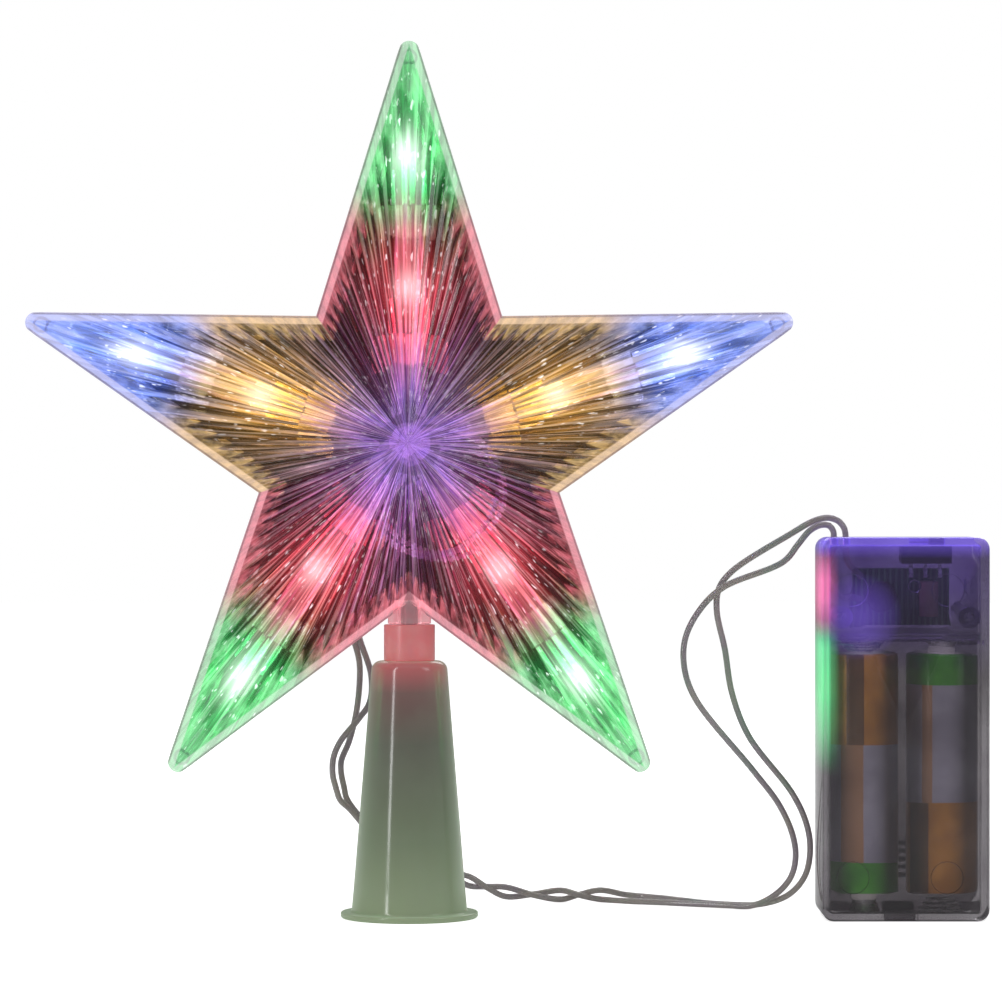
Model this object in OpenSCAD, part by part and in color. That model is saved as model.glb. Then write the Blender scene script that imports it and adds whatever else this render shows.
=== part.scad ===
// Light-up star tree topper: a clear faceted star on a socket cone, a two-wire cord and a
// battery box.  Millimetres.  +X right, +Y to the back, +Z up.  The origin is the centre of
// the cone's flange on the surface it stands on, and the star's front looks along -Y.

/* [Star] */
// Radius to the tips before they are rounded
tip_r = 88.5; // [74:0.5:106]
// Radius to the inner corners
notch_r = 32.7; // [27:0.1:39]
// Rounding of each tip
tip_round = 2.15; // [1.5:0.05:2.6]
// Thickness of the whole star at its centre
star_depth = 34; // [26:0.5:42]
// Thickness of the flat rim band, both halves together
rim_depth = 6; // [5:0.5:7]
// Width of the flat rim band
rim_band = 1.7; // [1.4:0.1:2.1]
// Width of the steep step inside the band
step_w = 2.5; // [2:0.1:3]
// Rise of the steep step
step_rise = 4; // [3:0.1:5]
// Wall of the clear shells
shell_wall = 1.4; // [1.1:0.1:1.7]

/* [Lamps] */
// Distance of the inner lamps from the centre
inner_lamp_r = 30.5; // [26:0.5:36]
// Distance of the outer lamps from the centre
outer_lamp_r = 57; // [48:0.5:62]
// Diameter of one lamp
lamp_dia = 3; // [2.5:0.1:3.6]
// Length of one lamp from base to dome
lamp_len = 5.4; // [4.5:0.1:6.4]
// Diameter of the clear lamp holders
holder_dia = 4.8; // [4.6:0.1:5.6]
// Length of the clear lamp holders
holder_len = 7; // [6:0.1:7.4]
// Width of one clip post
post_w = 3.2; // [2.6:0.1:3.4]
// Length of one clip post
post_len = 6.2; // [5:0.1:7.4]

/* [Stand] */
// Height of the socket cone
cone_h = 53.2; // [44:0.2:64]
// Diameter of the cone at its foot
cone_foot_dia = 23.9; // [20:0.1:28.5]
// Diameter of the cone at its top
cone_top_dia = 15.8; // [14:0.1:19]
// Wall of the cone
cone_wall = 1.2; // [1:0.1:1.5]
// Width of the flange around the cone's foot
flange_w = 2.3; // [1.9:0.1:2.8]
// Thickness of the foot flange
flange_t = 1.2; // [1:0.1:1.6]
// Diameter of the neck bush
neck_dia = 10.6; // [9.5:0.1:12.5]
// Height of the neck bush above the cone
neck_h = 7.5; // [6.2:0.1:9]
// Diameter of the plug under the neck bush
plug_dia = 8; // [7:0.1:9]
// Diameter of the star's peg
peg_dia = 3; // [2.5:0.1:3.6]
// Length of the peg below the star's foot
peg_len = 10; // [8.3:0.1:12]
// Height of the star's clear foot between neck and inner corner
foot_h = 4.7; // [4:0.1:5.6]

/* [Battery box] */
// Diameter of an AA cell
cell_dia = 14.2; // [11.9:0.1:17]
// Length of an AA cell without its nub
cell_len = 49.2; // [41:0.1:59]
// Gap between the two cells
cell_gap = 1.6; // [1.3:0.1:2]
// Room between a cell and the wall at its outer side
cell_side_room = 0.6; // [0.5:0.1:1]
// Room behind the cells
cell_back_room = 1.5; // [1.3:0.1:1.8]
// Height of the circuit's room above the cells
circuit_room = 18.2; // [15.2:0.1:21.8]
// Distance of the box's near side from the cone's axis
box_left = 84.9; // [84.8:0.1:101]
// Wall of the box
box_wall = 1.6; // [1.4:0.1:1.9]
// Rounding of the box's corners
box_round = 2.4; // [2:0.1:2.9]
// Travel of the slide switch
switch_travel = 4; // [3.3:0.1:4.8]
// Width of the switch's knob
knob_w = 3; // [2.5:0.1:3.6]

/* [Cord] */
// Diameter of one insulated wire
wire_dia = 1.3; // [1.1:0.1:1.5]
// Diameter of the thin wires inside the star
lead_dia = 0.9; // [0.75:0.05:1.1]

/* [Hidden] */

$fn = 48;
gap = 0.15;       // between pieces that sit side by side
run = 0.05;       // radial clearance of a running fit
bit = 0.3;        // overshoot of a cut
arms = 5;
arm_step = 360 / arms;

neck_top = cone_h + neck_h;
star_z = neck_top + foot_h + notch_r;

// ---- star geometry: every inset line is a smaller copy of the sharp star ----
tip_half = atan2(notch_r * sin(arm_step / 2), tip_r - notch_r * cos(arm_step / 2));
edge_turn = 90 - tip_half;
edge_dist = tip_r * sin(tip_half);
tip_c = tip_r - tip_round / sin(tip_half);
step_end = rim_band + step_w;
rim_y = rim_depth / 2;
step_y = rim_y + step_rise;
cavity_in = rim_band + shell_wall + 0.1;
cavity_step = step_end + 1;
cavity_step_y = step_y - shell_wall + 0.4;
cavity_y = star_depth / 2 - shell_wall;
tip_turns = [-1, -0.5, 0, 0.5, 1];

// One arm's outline as [radius, angle] from its notch to just before the next
arm_outline = concat(
    [[notch_r, -arm_step / 2]],
    [for (t = tip_turns)
        let (x = tip_c + tip_round * cos(t * edge_turn), y = tip_round * sin(t * edge_turn))
        [norm([x, y]), atan2(y, x)]]);
outline = [for (k = [0 : arms - 1], p = arm_outline) [p[0], p[1] + k * arm_step]];

function folded(a) = let (b = ((a % arm_step) + arm_step) % arm_step) min(b, arm_step - b);
function inset_r(a, w) = (edge_dist - w) / cos(edge_turn - folded(a));
function place(r, a, y) = [r * sin(a), y, star_z + r * cos(a)];
function ring_sharp(w, y) = [for (p = outline) place(inset_r(p[1], w), p[1], y)];
function ring_round(y) = [for (p = outline) place(p[0], p[1], y)];
// Distance in from the outline of a point r out and s aside of an arm's axis
function edge_gap(r, s) = edge_dist - r * sin(tip_half) - abs(s) * cos(tip_half);
// Depth of the hollow from the parting plane at such a point
function room_at(r, s) =
    let (w = edge_gap(r, s))
    w < cavity_step
        ? rim_y + (cavity_step_y - rim_y) * (w - cavity_in) / (cavity_step - cavity_in)
        : cavity_step_y + (cavity_y - cavity_step_y) * (w - cavity_step) / (edge_dist - cavity_step);

// Closes a stack of equal rings into one skin, with a point at each end
module skin(rings, first, last) {
    n = len(rings[0]);
    m = len(rings);
    points = concat([first], [for (ring = rings, p = ring) p], [last]);
    faces = concat(
        [for (i = [0 : n - 1]) [0, 1 + i, 1 + (i + 1) % n]],
        [for (j = [0 : m - 2], i = [0 : n - 1], half = [0, 1])
            let (a = 1 + j * n + i, b = 1 + j * n + (i + 1) % n, c = a + n, d = b + n)
            half == 0 ? [a, d, b] : [a, c, d]],
        [for (i = [0 : n - 1]) [1 + (m - 1) * n + i, 1 + m * n, 1 + (m - 1) * n + (i + 1) % n]]);
    polyhedron(points = points, faces = faces);
}

// One half of the star, hollow, its open side at y = 0 and its face towards -Y
module half_star() {
    centre = [0, 0, star_z];
    skin([ring_sharp(step_end, -step_y), ring_sharp(rim_band, -rim_y), ring_round(-rim_y),
          ring_round(0), ring_sharp(cavity_in, 0), ring_sharp(cavity_in, -rim_y),
          ring_sharp(cavity_step, -cavity_step_y)],
         centre - [0, star_depth / 2, 0], centre - [0, cavity_y, 0]);
}

// Turns a piece drawn along +Z at the star's centre into the direction of arm k
module on_arm(k) {
    translate([0, 0, star_z]) rotate([0, k * arm_step, 0]) children();
}

// ---- tubes swept along points ----
tube_sides = 8;
function unit(v) = v / norm(v);
function heading(path, i) =
    i == 0 ? unit(path[1] - path[0])
    : i == len(path) - 1 ? unit(path[i] - path[i - 1])
    : unit(unit(path[i] - path[i - 1]) + unit(path[i + 1] - path[i]));
function across(dir) = unit(abs(dir[1]) < 0.9 ? cross(dir, [0, 1, 0]) : cross(dir, [1, 0, 0]));
// Carries the side vector from one ring to the next without twisting
function carried(side, dir) = unit(side - dir * (side * dir));
function sides(dirs, i = 0, list = []) =
    i == len(dirs) ? list
    : sides(dirs, i + 1, concat(list, [i == 0 ? across(dirs[0]) : carried(list[i - 1], dirs[i])]));

// start_dir and end_dir set the direction that an end face looks along
module tube(path, dia, start_dir = undef, end_dir = undef) {
    last = len(path) - 1;
    dirs = [for (i = [0 : last])
        i == 0 && start_dir != undef ? start_dir
        : i == last && end_dir != undef ? end_dir
        : heading(path, i)];
    side = sides(dirs);
    rings = [for (i = [0 : last])
        [for (s = [0 : tube_sides - 1])
            let (turn = 360 * s / tube_sides)
            path[i] + dia / 2 * (side[i] * cos(turn) + cross(dirs[i], side[i]) * sin(turn))]];
    n = tube_sides;
    points = [for (ring = rings, p = ring) p];
    faces = concat(
        [[for (s = [0 : n - 1]) s]],
        [for (j = [0 : last - 1], s = [0 : n - 1], half = [0, 1])
            let (a = j * n + s, b = j * n + (s + 1) % n, c = a + n, d = b + n)
            half == 0 ? [a, d, b] : [a, c, d]],
        [[for (s = [n - 1 : -1 : 0]) last * n + s]]);
    polyhedron(points = points, faces = faces);
}

// ---- battery box: made around its cells, the circuit above them ----
divider = 1.4;
front_room = 0.1;
low_contact_room = 4;
top_contact_room = 2.8;
box_w = 2 * (cell_dia + cell_side_room + box_wall) + cell_gap;
box_d = cell_dia + front_room + cell_back_room + 2 * box_wall;
box_x = box_left + box_w / 2;
cell_z = box_wall + low_contact_room;
door_top = cell_z + cell_len + top_contact_room;
box_h = door_top + divider + circuit_room + box_wall;
box_front = -box_d / 2;
box_back = box_d / 2;
inner_w = box_w - 2 * box_wall;
inner_back = box_back - box_wall;
inner_front = box_front + box_wall;
cell_dx = (cell_dia + cell_gap) / 2;
cell_y = inner_front + front_room + cell_dia / 2;
nub_dia = 5.2;
nub_h = 1.2;
bead_r = box_wall / 2;
bead_y = box_back - bead_r;
bead_z = door_top - bead_r;
hinge_pin_r = 0.5;
hinge_pin_len = 1;
latch_w = 6.6;
latch_h = 3.7;
strip_t = 0.3;
switch_x = box_x + 4.9;
switch_body_w = 10.4;
switch_body_d = 5;
switch_body_h = 4.2;
switch_body_top = box_h - box_wall - gap;
knob_d = 2;
knob_rest_x = switch_x + switch_travel / 2;
slot_half = switch_travel / 2 + knob_w / 2 + 0.2;
screw_dx = inner_w / 2 - 2.6;
screw_z = door_top + divider + 3.4;
screw_r = 0.95;
screw_head_r = 1.8;
screw_head_t = 1;
boss_r = 2.3;
board_w = 2 * (screw_dx - boss_r - 0.7);
board_t = 1;
board_y = 2;
board_z = door_top + divider + 1;
board_top = switch_body_top - switch_body_h - 1.35;
board_h = board_top - board_z;
wire_hole_r = wire_dia / 2 + 0.12;
mark_raise = 0.2;
mark_z = box_h - 10;

// ---- the cord's route: two wires, from the box to beside the cone, then up to the star ----
// The wires leave the star on the lower edge of the arm at the lower left, just behind its rim
exit_r = 37.63;
exit_in = 3.1;
exit_side = (edge_dist - exit_in - exit_r * sin(tip_half)) / cos(tip_half);
exit_turn = 3 * arm_step - atan2(exit_side, exit_r);
cord_exit = place(norm([exit_r, exit_side]), exit_turn, 4.6);
exit_tilt = 28;
exit_hole_dia = 2 * wire_dia + 1.8;
wire_apart = [wire_dia / 2 + 0.1, 0, 0];

function from(origin, steps) = [for (p = steps) origin + p];
hole_a = [box_x - 11.6, 0, box_h];
hole_b = [box_x - 14.1, -0.6, box_h];
run_a = concat(
    from(hole_a, [[0, 0, 0], [-0.2, 0, 1.6], [-1.3, 0, 3.2], [-3.5, 0, 4], [-6.5, 0, 3.4], [-11.5, 0, 0.6]]),
    [[66.8, 0, 71.6], [64.2, 0.4, 68], [63.8, 0.6, 63.5], [65.5, 1, 55.5], [67, 2, 46.5],
     [70.5, 3, 37.5], [80, 5.5, 25], [83, 7, 18.5], [83.8, 8.4, 13], [82.8, 10, 7.5], [79.5, 12, 3.4],
     [74, 14.6, 1.2], [66.5, 18, 0.8], [53, 32, 0.8], [46, 34.5, 1.2], [40, 30, 2.6], [36, 31, 1.6],
     [32, 29.5, 0.7], [26, 27.5, 1.8], [20, 26.5, 3.6], [16, 25.5, 3.8], [12, 22, 4.4], [8, 19, 7],
     [3, 18, 10], [-2, 17.5, 11.5], [-6.4, 14.8, 13.6], [-9.9, 12.1, 18], [-12.8, 10.5, 21.6],
     [-14.8, 9.6, 23.6], [-15.6, 9.1, 26]]);
drop_a = concat(
    [[-15.6, 9.1, 26], [-16.3, 8.8, 29], [-16.1, 8.9, 32.6], [-14.6, 9.3, 36], [-11, 10, 40.4],
     [-8.6, 10.8, 44], [-8.3, 10.8, 49.6]],
    from(cord_exit + wire_apart, [[0.85, 2.8, -3.5], [0, 0, 0]]));
run_b = concat(
    from(hole_b, [[0, 0, 0], [-0.1, -0.1, 1.2], [-1, -0.3, 2.4], [-2.8, -0.6, 2.5], [-5, -0.8, 1.4],
                  [-7.4, -0.9, -1.4], [-10.4, -0.9, -5]]),
    [[65, -1.5, 68.4], [60.4, -1, 64], [57.3, 0, 58], [57, 0, 52], [59.2, 0, 45.5], [71.5, 3, 30.2],
     [77, 5, 23], [80, 7, 16.5], [80.8, 9, 11.5], [79.8, 10.8, 7], [76.5, 12.4, 3.2], [72, 13.4, 1],
     [66.5, 16, 0.8], [53, 22, 0.8], [40, 30, 0.7], [36, 29, 1.6], [32, 29.5, 2.6], [26, 29.5, 1.8],
     [20, 26.5, 1.6], [16, 23.5, 3.8], [12, 22, 6.4], [8, 21, 7], [3, 18, 8], [-2, 15.5, 11.5],
     [-5.6, 15.2, 15.4], [-9.1, 14, 18], [-12.2, 12.6, 21.6], [-13.6, 11.8, 24], [-14, 11.6, 26]]);
drop_b = concat(
    [[-14, 11.6, 26], [-14.6, 11.3, 29], [-14.6, 11.3, 31.6], [-13, 11.6, 35.6], [-11.6, 11.6, 41],
     [-10.8, 10.8, 47]],
    from(cord_exit - wire_apart, [[2, 4.8, -7.6], [0, 0, 0]]));

// A flat shape drawn in X and Z, thick from y0 to y1
module slab(y0, y1) {
    translate([0, y1, 0]) rotate([90, 0, 0]) linear_extrude(y1 - y0) children();
}

module rounded_area(x0, z0, w, h, r) {
    translate([x0 + r, z0]) square([w - 2 * r, h]);
    translate([x0, z0 + r]) square([w, h - 2 * r]);
    for (dx = [r, w - r], dz = [r, h - r])
        translate([x0 + dx, z0 + dz]) circle(r);
}

// ---- star ----
// Slanted hole in the back shell that the two wires leave through
module cord_exit_cut() {
    translate(cord_exit) rotate([exit_tilt, 0, 0]) cylinder(d = exit_hole_dia, h = 14, center = true);
}

// The pointed head that the clear foot closes around, with its peg
module stem_shape(grow) {
    r = peg_dia / 2 + 0.35 + grow;
    top = foot_h + 2.6 + grow;
    shoulder = foot_h * 0.45;
    base = grow > 0 ? -bit : run;
    translate([0, 0, neck_top]) rotate_extrude() polygon(concat(
        [[0, base], [r, base], [r, shoulder]],
        [for (t = [0.2 : 0.2 : 0.8]) [r * cos(90 * t), shoulder + (top - shoulder) * t]],
        [[0, top]]));
}

module foot_half() {
    difference() {
        translate([0, 0, neck_top + 0.1]) cylinder(r = 4.5, h = foot_h + 1.2);
        translate([-6, 0, neck_top - bit]) cube([12, 6, foot_h + 3]);
    }
}

module star_front_shell() color([0.85, 0.88, 0.95, 0.5]) difference() {
    union() {
        half_star();
        foot_half();
    }
    stem_shape(run);
    for (k = [0 : arms - 1])
        on_arm(k) translate([0, bit, tip_r - 8.5]) rotate([90, 0, 0]) cylinder(d = 1.7, h = 2 + bit);
}

module star_back_shell() color([0.82, 0.86, 0.95, 0.5]) difference() {
    union() {
        mirror([0, 1, 0]) half_star();
        mirror([0, 1, 0]) foot_half();
        for (k = [0 : arms - 1])
            on_arm(k) translate([0, 1, tip_r - 8.5]) rotate([90, 0, 0]) cylinder(d = 1.6, h = 2.8);
    }
    stem_shape(run);
    cord_exit_cut();
}

post_side = 3.3;   // from an arm's axis to the middle of a post
post_front = 4.2;  // how far a post stands in front of the parting plane
post_room = 0.6;   // between a post and the lamp holder
// Pairs of posts that the leads run between, short of the back shell's inner face
module post_pair(lamp_r) {
    r0 = lamp_r - 0.2 - holder_len - post_room - post_len;
    back = room_at(r0 + post_len, post_side + post_w / 2) - 0.5;
    for (side = [-1, 1])
        translate([side * post_side - post_w / 2, -post_front, r0]) difference() {
            cube([post_w, post_front + back, post_len]);
            translate([0.7, -bit, 0.7]) cube([post_w - 1.4, post_front, post_len - 1.4]);
        }
}

module clip_posts() color([0.9, 0.92, 0.96, 0.6])
    for (k = [0 : arms - 1], r = [inner_lamp_r, outer_lamp_r])
        on_arm(k) post_pair(r);

module mount_stem() color([0.35, 0.12, 0.3]) {
    rib = 0.12;
    difference() {
        union() {
            stem_shape(0);
            translate([0, 0, neck_top - peg_len]) cylinder(d = peg_dia, h = peg_len);
        }
        for (dz = [2 : 2 : 8])
            translate([0, 0, neck_top - dz]) rotate_extrude()
                translate([peg_dia / 2 - rib, 0]) square([1, 0.7]);
    }
}

// ---- lamps ----
module lamp(r_out) {
    base_h = 0.8;
    r = lamp_dia / 2;
    translate([0, 0, r_out - 1.6]) {
        cylinder(r = r + 0.2, h = base_h);
        cylinder(r = r, h = lamp_len - r);
        translate([0, 0, lamp_len - r]) sphere(r);
    }
}

module lamps_green() color([0.2, 1, 0.5]) for (k = [0, 2, 3]) on_arm(k) lamp(outer_lamp_r);
module lamps_blue() color([0.3, 0.45, 1]) for (k = [1, 4]) on_arm(k) lamp(outer_lamp_r);
module lamps_red() color([1, 0.15, 0.2]) for (k = [0, 2, 3]) on_arm(k) lamp(inner_lamp_r);
module lamps_yellow() color([1, 0.75, 0.15]) for (k = [1, 4]) on_arm(k) lamp(inner_lamp_r);

module lamp_holders() color([0.9, 0.92, 0.95, 0.6])
    for (k = [0 : arms - 1], r = [inner_lamp_r, outer_lamp_r])
        on_arm(k) translate([0, 0, r - 0.2 - holder_len]) difference() {
            cylinder(d = holder_dia, h = holder_len);
            translate([0, 0, -bit]) cylinder(r = lamp_dia / 2 + 0.35, h = holder_len + 2 * bit);
        }

lead_side = 0.75;
lead_back = 3.6;
knot_r = 6;
module lamp_leads() color([0.85, 0.85, 0.88])
    for (k = [0 : arms - 1], side = [-lead_side, lead_side]) on_arm(k) {
        tube([[side, 0, knot_r + 1.5], [side, 0, inner_lamp_r - 1.8]], lead_dia);
        tube([[side, lead_back, knot_r + 1.5], [side, lead_back, inner_lamp_r + 6],
              [side, 1, inner_lamp_r + 12], [side, 0, inner_lamp_r + 15], [side, 0, outer_lamp_r - 1.8]],
             lead_dia);
    }

module centre_knot() color([0.8, 0.8, 0.85])
    translate([0, 1.4, star_z]) rotate_extrude() union() {
        translate([knot_r - 2.2, 0]) circle(2);
        square([knot_r - 2.2, 1.6]);
    }

coil_r = 13;
module spare_lead_coil() color([0.8, 0.8, 0.85])
    translate([6, -6.2, star_z - 10]) rotate([90, 0, 0]) rotate_extrude()
        translate([coil_r, 0]) circle(1.1, $fn = 16);

// Where the inner leads point when they meet a wire's last stretch head on
function end_of(path) = unit(path[len(path) - 2] - path[len(path) - 1]);
module exit_leads() color([0.8, 0.8, 0.85]) {
    knot_back = [-2.4, 4.6, star_z - 8.4];
    tube(concat(from(knot_back, [[0.8, 0, 0], [0.6, 0.2, -5.6]]),
                from(cord_exit, [[6.6, -0.2, 13.8], [2.6, -1.6, 5.8]]), [drop_a[len(drop_a) - 1]]),
         wire_dia, undef, end_of(drop_a));
    tube(concat(from(knot_back, [[-1, 0, 0], [-1.4, 0.2, -6]]),
                from(cord_exit, [[4, -0.2, 13.8], [0.6, -1.6, 5.8]]), [drop_b[len(drop_b) - 1]]),
         wire_dia, undef, end_of(drop_b));
}

up = [0, 0, 1];
module cord_drop_a() color([0.6, 0.6, 0.58]) tube(drop_a, wire_dia, up);
module cord_drop_b() color([0.6, 0.6, 0.58]) tube(drop_b, wire_dia, up);
module cord_run_a() color([0.6, 0.6, 0.58]) tube(run_a, wire_dia, up, up);
module cord_run_b() color([0.6, 0.6, 0.58]) tube(run_b, wire_dia, up, up);

// ---- stand ----
module neck_bush() color([0.9, 0.75, 0.75, 0.8]) difference() {
    plug_bottom = cone_h - cone_wall - 7;
    union() {
        translate([0, 0, cone_h + 0.05]) cylinder(d = neck_dia, h = neck_h - 0.05);
        translate([0, 0, plug_bottom]) cylinder(r = plug_dia / 2 - run, h = cone_h - plug_bottom + 1);
        translate([0, 0, cone_h - cone_wall - 1.6]) cylinder(r = plug_dia / 2 + 0.35, h = 1.2);
    }
    translate([0, 0, plug_bottom - bit]) cylinder(r = peg_dia / 2 + run, h = cone_h + neck_h);
}

module cone_base() color([0.72, 0.8, 0.72, 0.9]) {
    foot_r = cone_foot_dia / 2;
    flange_r = foot_r + flange_w;
    top_r = cone_top_dia / 2;
    shoulder = 2;
    rotate_extrude() difference() {
        polygon(concat(
            [[0, 0], [flange_r, 0], [flange_r, flange_t], [foot_r, flange_t],
             [top_r, cone_h - shoulder]],
            [for (a = [15 : 15 : 75])
                [top_r - shoulder + shoulder * cos(a), cone_h - shoulder + shoulder * sin(a)]],
            [[top_r - shoulder, cone_h], [0, cone_h]]));
        polygon([[0, -bit], [foot_r - cone_wall, -bit], [foot_r - cone_wall, flange_t],
                 [top_r - cone_wall, cone_h - cone_wall - 0.8],
                 [top_r - cone_wall - 0.8, cone_h - cone_wall], [0, cone_h - cone_wall]]);
        square([plug_dia / 2, cone_h + bit]);
    }
}

// ---- battery box ----
module battery_case() color([0.35, 0.32, 0.45, 0.8]) difference() {
    union() {
        difference() {
            slab(box_front, box_back) rounded_area(box_left, 0, box_w, box_h, box_round);
            slab(inner_front, box_back + bit)
                rounded_area(box_left + box_wall, box_wall, inner_w, box_h - 2 * box_wall, 1);
        }
        slab(inner_front - bit, inner_back)
            translate([box_left + box_wall - bit, door_top]) square([inner_w + 2 * bit, divider]);
        for (side = [-1, 1])
            slab(inner_front - bit, inner_back)
                translate([box_x + side * screw_dx, screw_z]) circle(boss_r);
        // round mark for off and bar mark for on
        slab(box_front - mark_raise, box_front + bit) translate([switch_x - 3.2, mark_z]) difference() {
            circle(1.5);
            circle(1);
        }
        slab(box_front - mark_raise, box_front + bit)
            translate([switch_x + 6.9, mark_z - 1.5]) square([0.6, 3]);
    }
    for (side = [-1, 1])
        slab(inner_front + 3, box_back) translate([box_x + side * screw_dx, screw_z]) circle(screw_r + run);
    for (side = [-1, 1])
        translate([box_x + side * (inner_w / 2 - 0.1), bead_y, bead_z]) rotate([0, side * 90, 0])
            cylinder(r = hinge_pin_r + run, h = hinge_pin_len + 0.2);
    for (p = [hole_a, hole_b])
        translate([p[0], p[1], box_h - box_wall - 1]) cylinder(r = wire_hole_r, h = box_wall + 2);
    translate([switch_x - slot_half, -knob_d / 2 - gap, box_h - box_wall - 1])
        cube([2 * slot_half, knob_d + 2 * gap, box_wall + 2]);
    translate([box_x - latch_w / 2 - 0.4, inner_back - 1.5, -bit])
        cube([latch_w + 0.8, box_wall + 2, box_wall + 2 * bit]);
}

module battery_door() color([0.4, 0.38, 0.5, 0.8]) {
    w = inner_w - 2 * 0.2;
    difference() {
        union() {
            slab(inner_back + 0.05, box_back)
                rounded_area(box_x - w / 2, box_wall + 0.3, w, bead_z - box_wall - 0.3, 0.9);
            translate([box_x - w / 2, bead_y, bead_z]) rotate([0, 90, 0])
                cylinder(r = bead_r - 0.05, h = w);
            translate([box_x - inner_w / 2 - hinge_pin_len + 0.1, bead_y, bead_z]) rotate([0, 90, 0])
                cylinder(r = hinge_pin_r, h = inner_w + 2 * hinge_pin_len - 0.2);
            slab(inner_back + 0.05, box_back)
                translate([box_x - latch_w / 2, 0.2]) square([latch_w, latch_h]);
        }
        // slots each side of the springy latch, and the finger ribs above it
        for (side = [-1, 1])
            slab(inner_back - bit, box_back + bit)
                translate([box_x + side * (latch_w / 2 + 0.4) - 0.3, box_wall]) square([0.6, latch_h]);
        for (dz = [8 : 1.6 : 14.4])
            slab(box_back - 0.4, box_back + bit) translate([box_x - 5, dz]) square([10, 0.8]);
    }
}

module circuit_cover() color([0.4, 0.38, 0.5, 0.8]) difference() {
    w = inner_w - 2 * 0.1;
    z0 = door_top + 0.3;
    slab(inner_back + 0.02, box_back)
        rounded_area(box_x - w / 2, z0, w, box_h - box_wall - 0.3 - z0, 0.9);
    for (side = [-1, 1]) {
        slab(inner_back - bit, box_back + bit)
            translate([box_x + side * screw_dx, screw_z]) circle(screw_r + run);
        slab(box_back - screw_head_t - run, box_back + bit)
            translate([box_x + side * screw_dx, screw_z]) circle(screw_head_r + run);
    }
}

module cover_screws() color("silver")
    for (side = [-1, 1]) difference() {
        union() {
            slab(box_back - screw_head_t, box_back)
                translate([box_x + side * screw_dx, screw_z]) circle(screw_head_r);
            slab(inner_front + 3.4, box_back - screw_head_t + 0.1)
                translate([box_x + side * screw_dx, screw_z]) circle(screw_r);
        }
        slab(box_back - 0.6, box_back + bit) translate([box_x + side * screw_dx, screw_z]) {
            square([2, 0.5], center = true);
            square([0.5, 2], center = true);
        }
    }

module switch_body() color("dimgray") difference() {
    translate([switch_x - switch_body_w / 2, -switch_body_d / 2, switch_body_top - switch_body_h])
        cube([switch_body_w, switch_body_d, switch_body_h]);
    translate([switch_x - slot_half - 0.1, -knob_d / 2 - gap, switch_body_top - 2])
        cube([2 * slot_half + 0.2, knob_d + 2 * gap, 3]);
}

module switch_slider() color("black")
    translate([knob_rest_x - knob_w / 2, -knob_d / 2, switch_body_top - 1.9]) difference() {
        cube([knob_w, knob_d, box_h - 0.3 - switch_body_top + 1.9]);
        for (dx = [0.6 : 0.6 : knob_w - 0.6])
            translate([dx - 0.12, -bit, box_h - 0.6 - switch_body_top + 1.9]) cube([0.24, knob_d + 1, 1]);
    }

module switch_terminals() color("silver")
    for (dx = [-3, 0, 3])
        translate([switch_x + dx - 0.4, -0.15, switch_body_top - switch_body_h - 3.05]) cube([0.8, 0.3, 3]);

module circuit_board() color("seagreen")
    slab(board_y, board_y + board_t) translate([box_x - board_w / 2, board_z]) square([board_w, board_h]);

module controller_chip() color("black")
    translate([box_x - 4, board_y - 0.02, board_z + board_h / 2]) rotate([90, 0, 0]) rotate_extrude()
        polygon([[0, 0], [3.2, 0], [3, 0.5], [2.2, 0.95], [1.1, 1.2], [0, 1.25]]);

module board_components() color("tan") {
    translate([box_x + 5.5, board_y - 2.2, board_z + 2]) cylinder(d = 4, h = board_h - 4.5);
    for (dz = [3, 6])
        translate([box_x - board_w / 2 + 0.5, board_y + board_t + 1, board_z + dz]) rotate([0, 90, 0])
            cylinder(d = 1.8, h = 5);
}

module cord_tails() color([0.6, 0.6, 0.58]) {
    tube(from(hole_a, [[0, 0, 0], [0, 0, -3], [0.6, 0.4, -6], [3.5, 0.8, -9]]), wire_dia, -up);
    tube(from(hole_b, [[0, 0, 0], [0, 0, -3], [-0.6, 0.2, -8], [2, 0.8, -12], [6, 1, -13.5]]),
         wire_dia, -up);
}

module cell(x, nub_up) {
    r = cell_dia / 2;
    translate([x, cell_y, cell_z]) {
        cylinder(r = r, h = cell_len);
        translate([0, 0, nub_up ? cell_len - 0.1 : -nub_h]) cylinder(d = nub_dia, h = nub_h + 0.1);
    }
}
module battery_left() color([0.8, 0.5, 0.2]) cell(box_x - cell_dx, false);
module battery_right() color([0.3, 0.7, 0.2]) cell(box_x + cell_dx, true);

// ---- contacts ----
floor_z = box_wall + 0.05;
roof_z = door_top - 0.05;
// A round boss pressed into a contact plate at z0, up or down to a cell's end at z1
module contact_cup(x, z0, z1) {
    translate([x, cell_y, min(z0, z1)])
        cylinder(r1 = z0 < z1 ? 3.4 : 2.4, r2 = z0 < z1 ? 2.4 : 3.4, h = abs(z1 - z0));
}

module bridge_contact() color("silver") {
    translate([box_x - cell_dx - 5, cell_y - 5, floor_z]) cube([2 * cell_dx + 10, 10, strip_t]);
    contact_cup(box_x - cell_dx, floor_z + strip_t - 0.01, cell_z - nub_h - 0.05);
}

module positive_contact() color("silver") {
    top = cell_z + cell_len + nub_h;
    translate([box_x + cell_dx - 5, cell_y - 5, roof_z - strip_t]) cube([10, 10, strip_t]);
    contact_cup(box_x + cell_dx, roof_z - strip_t + 0.01, top + 0.05);
}

module negative_contact() color("silver")
    translate([box_x - cell_dx - 5, cell_y - 5, roof_z - strip_t]) cube([10, 10, strip_t]);

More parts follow.
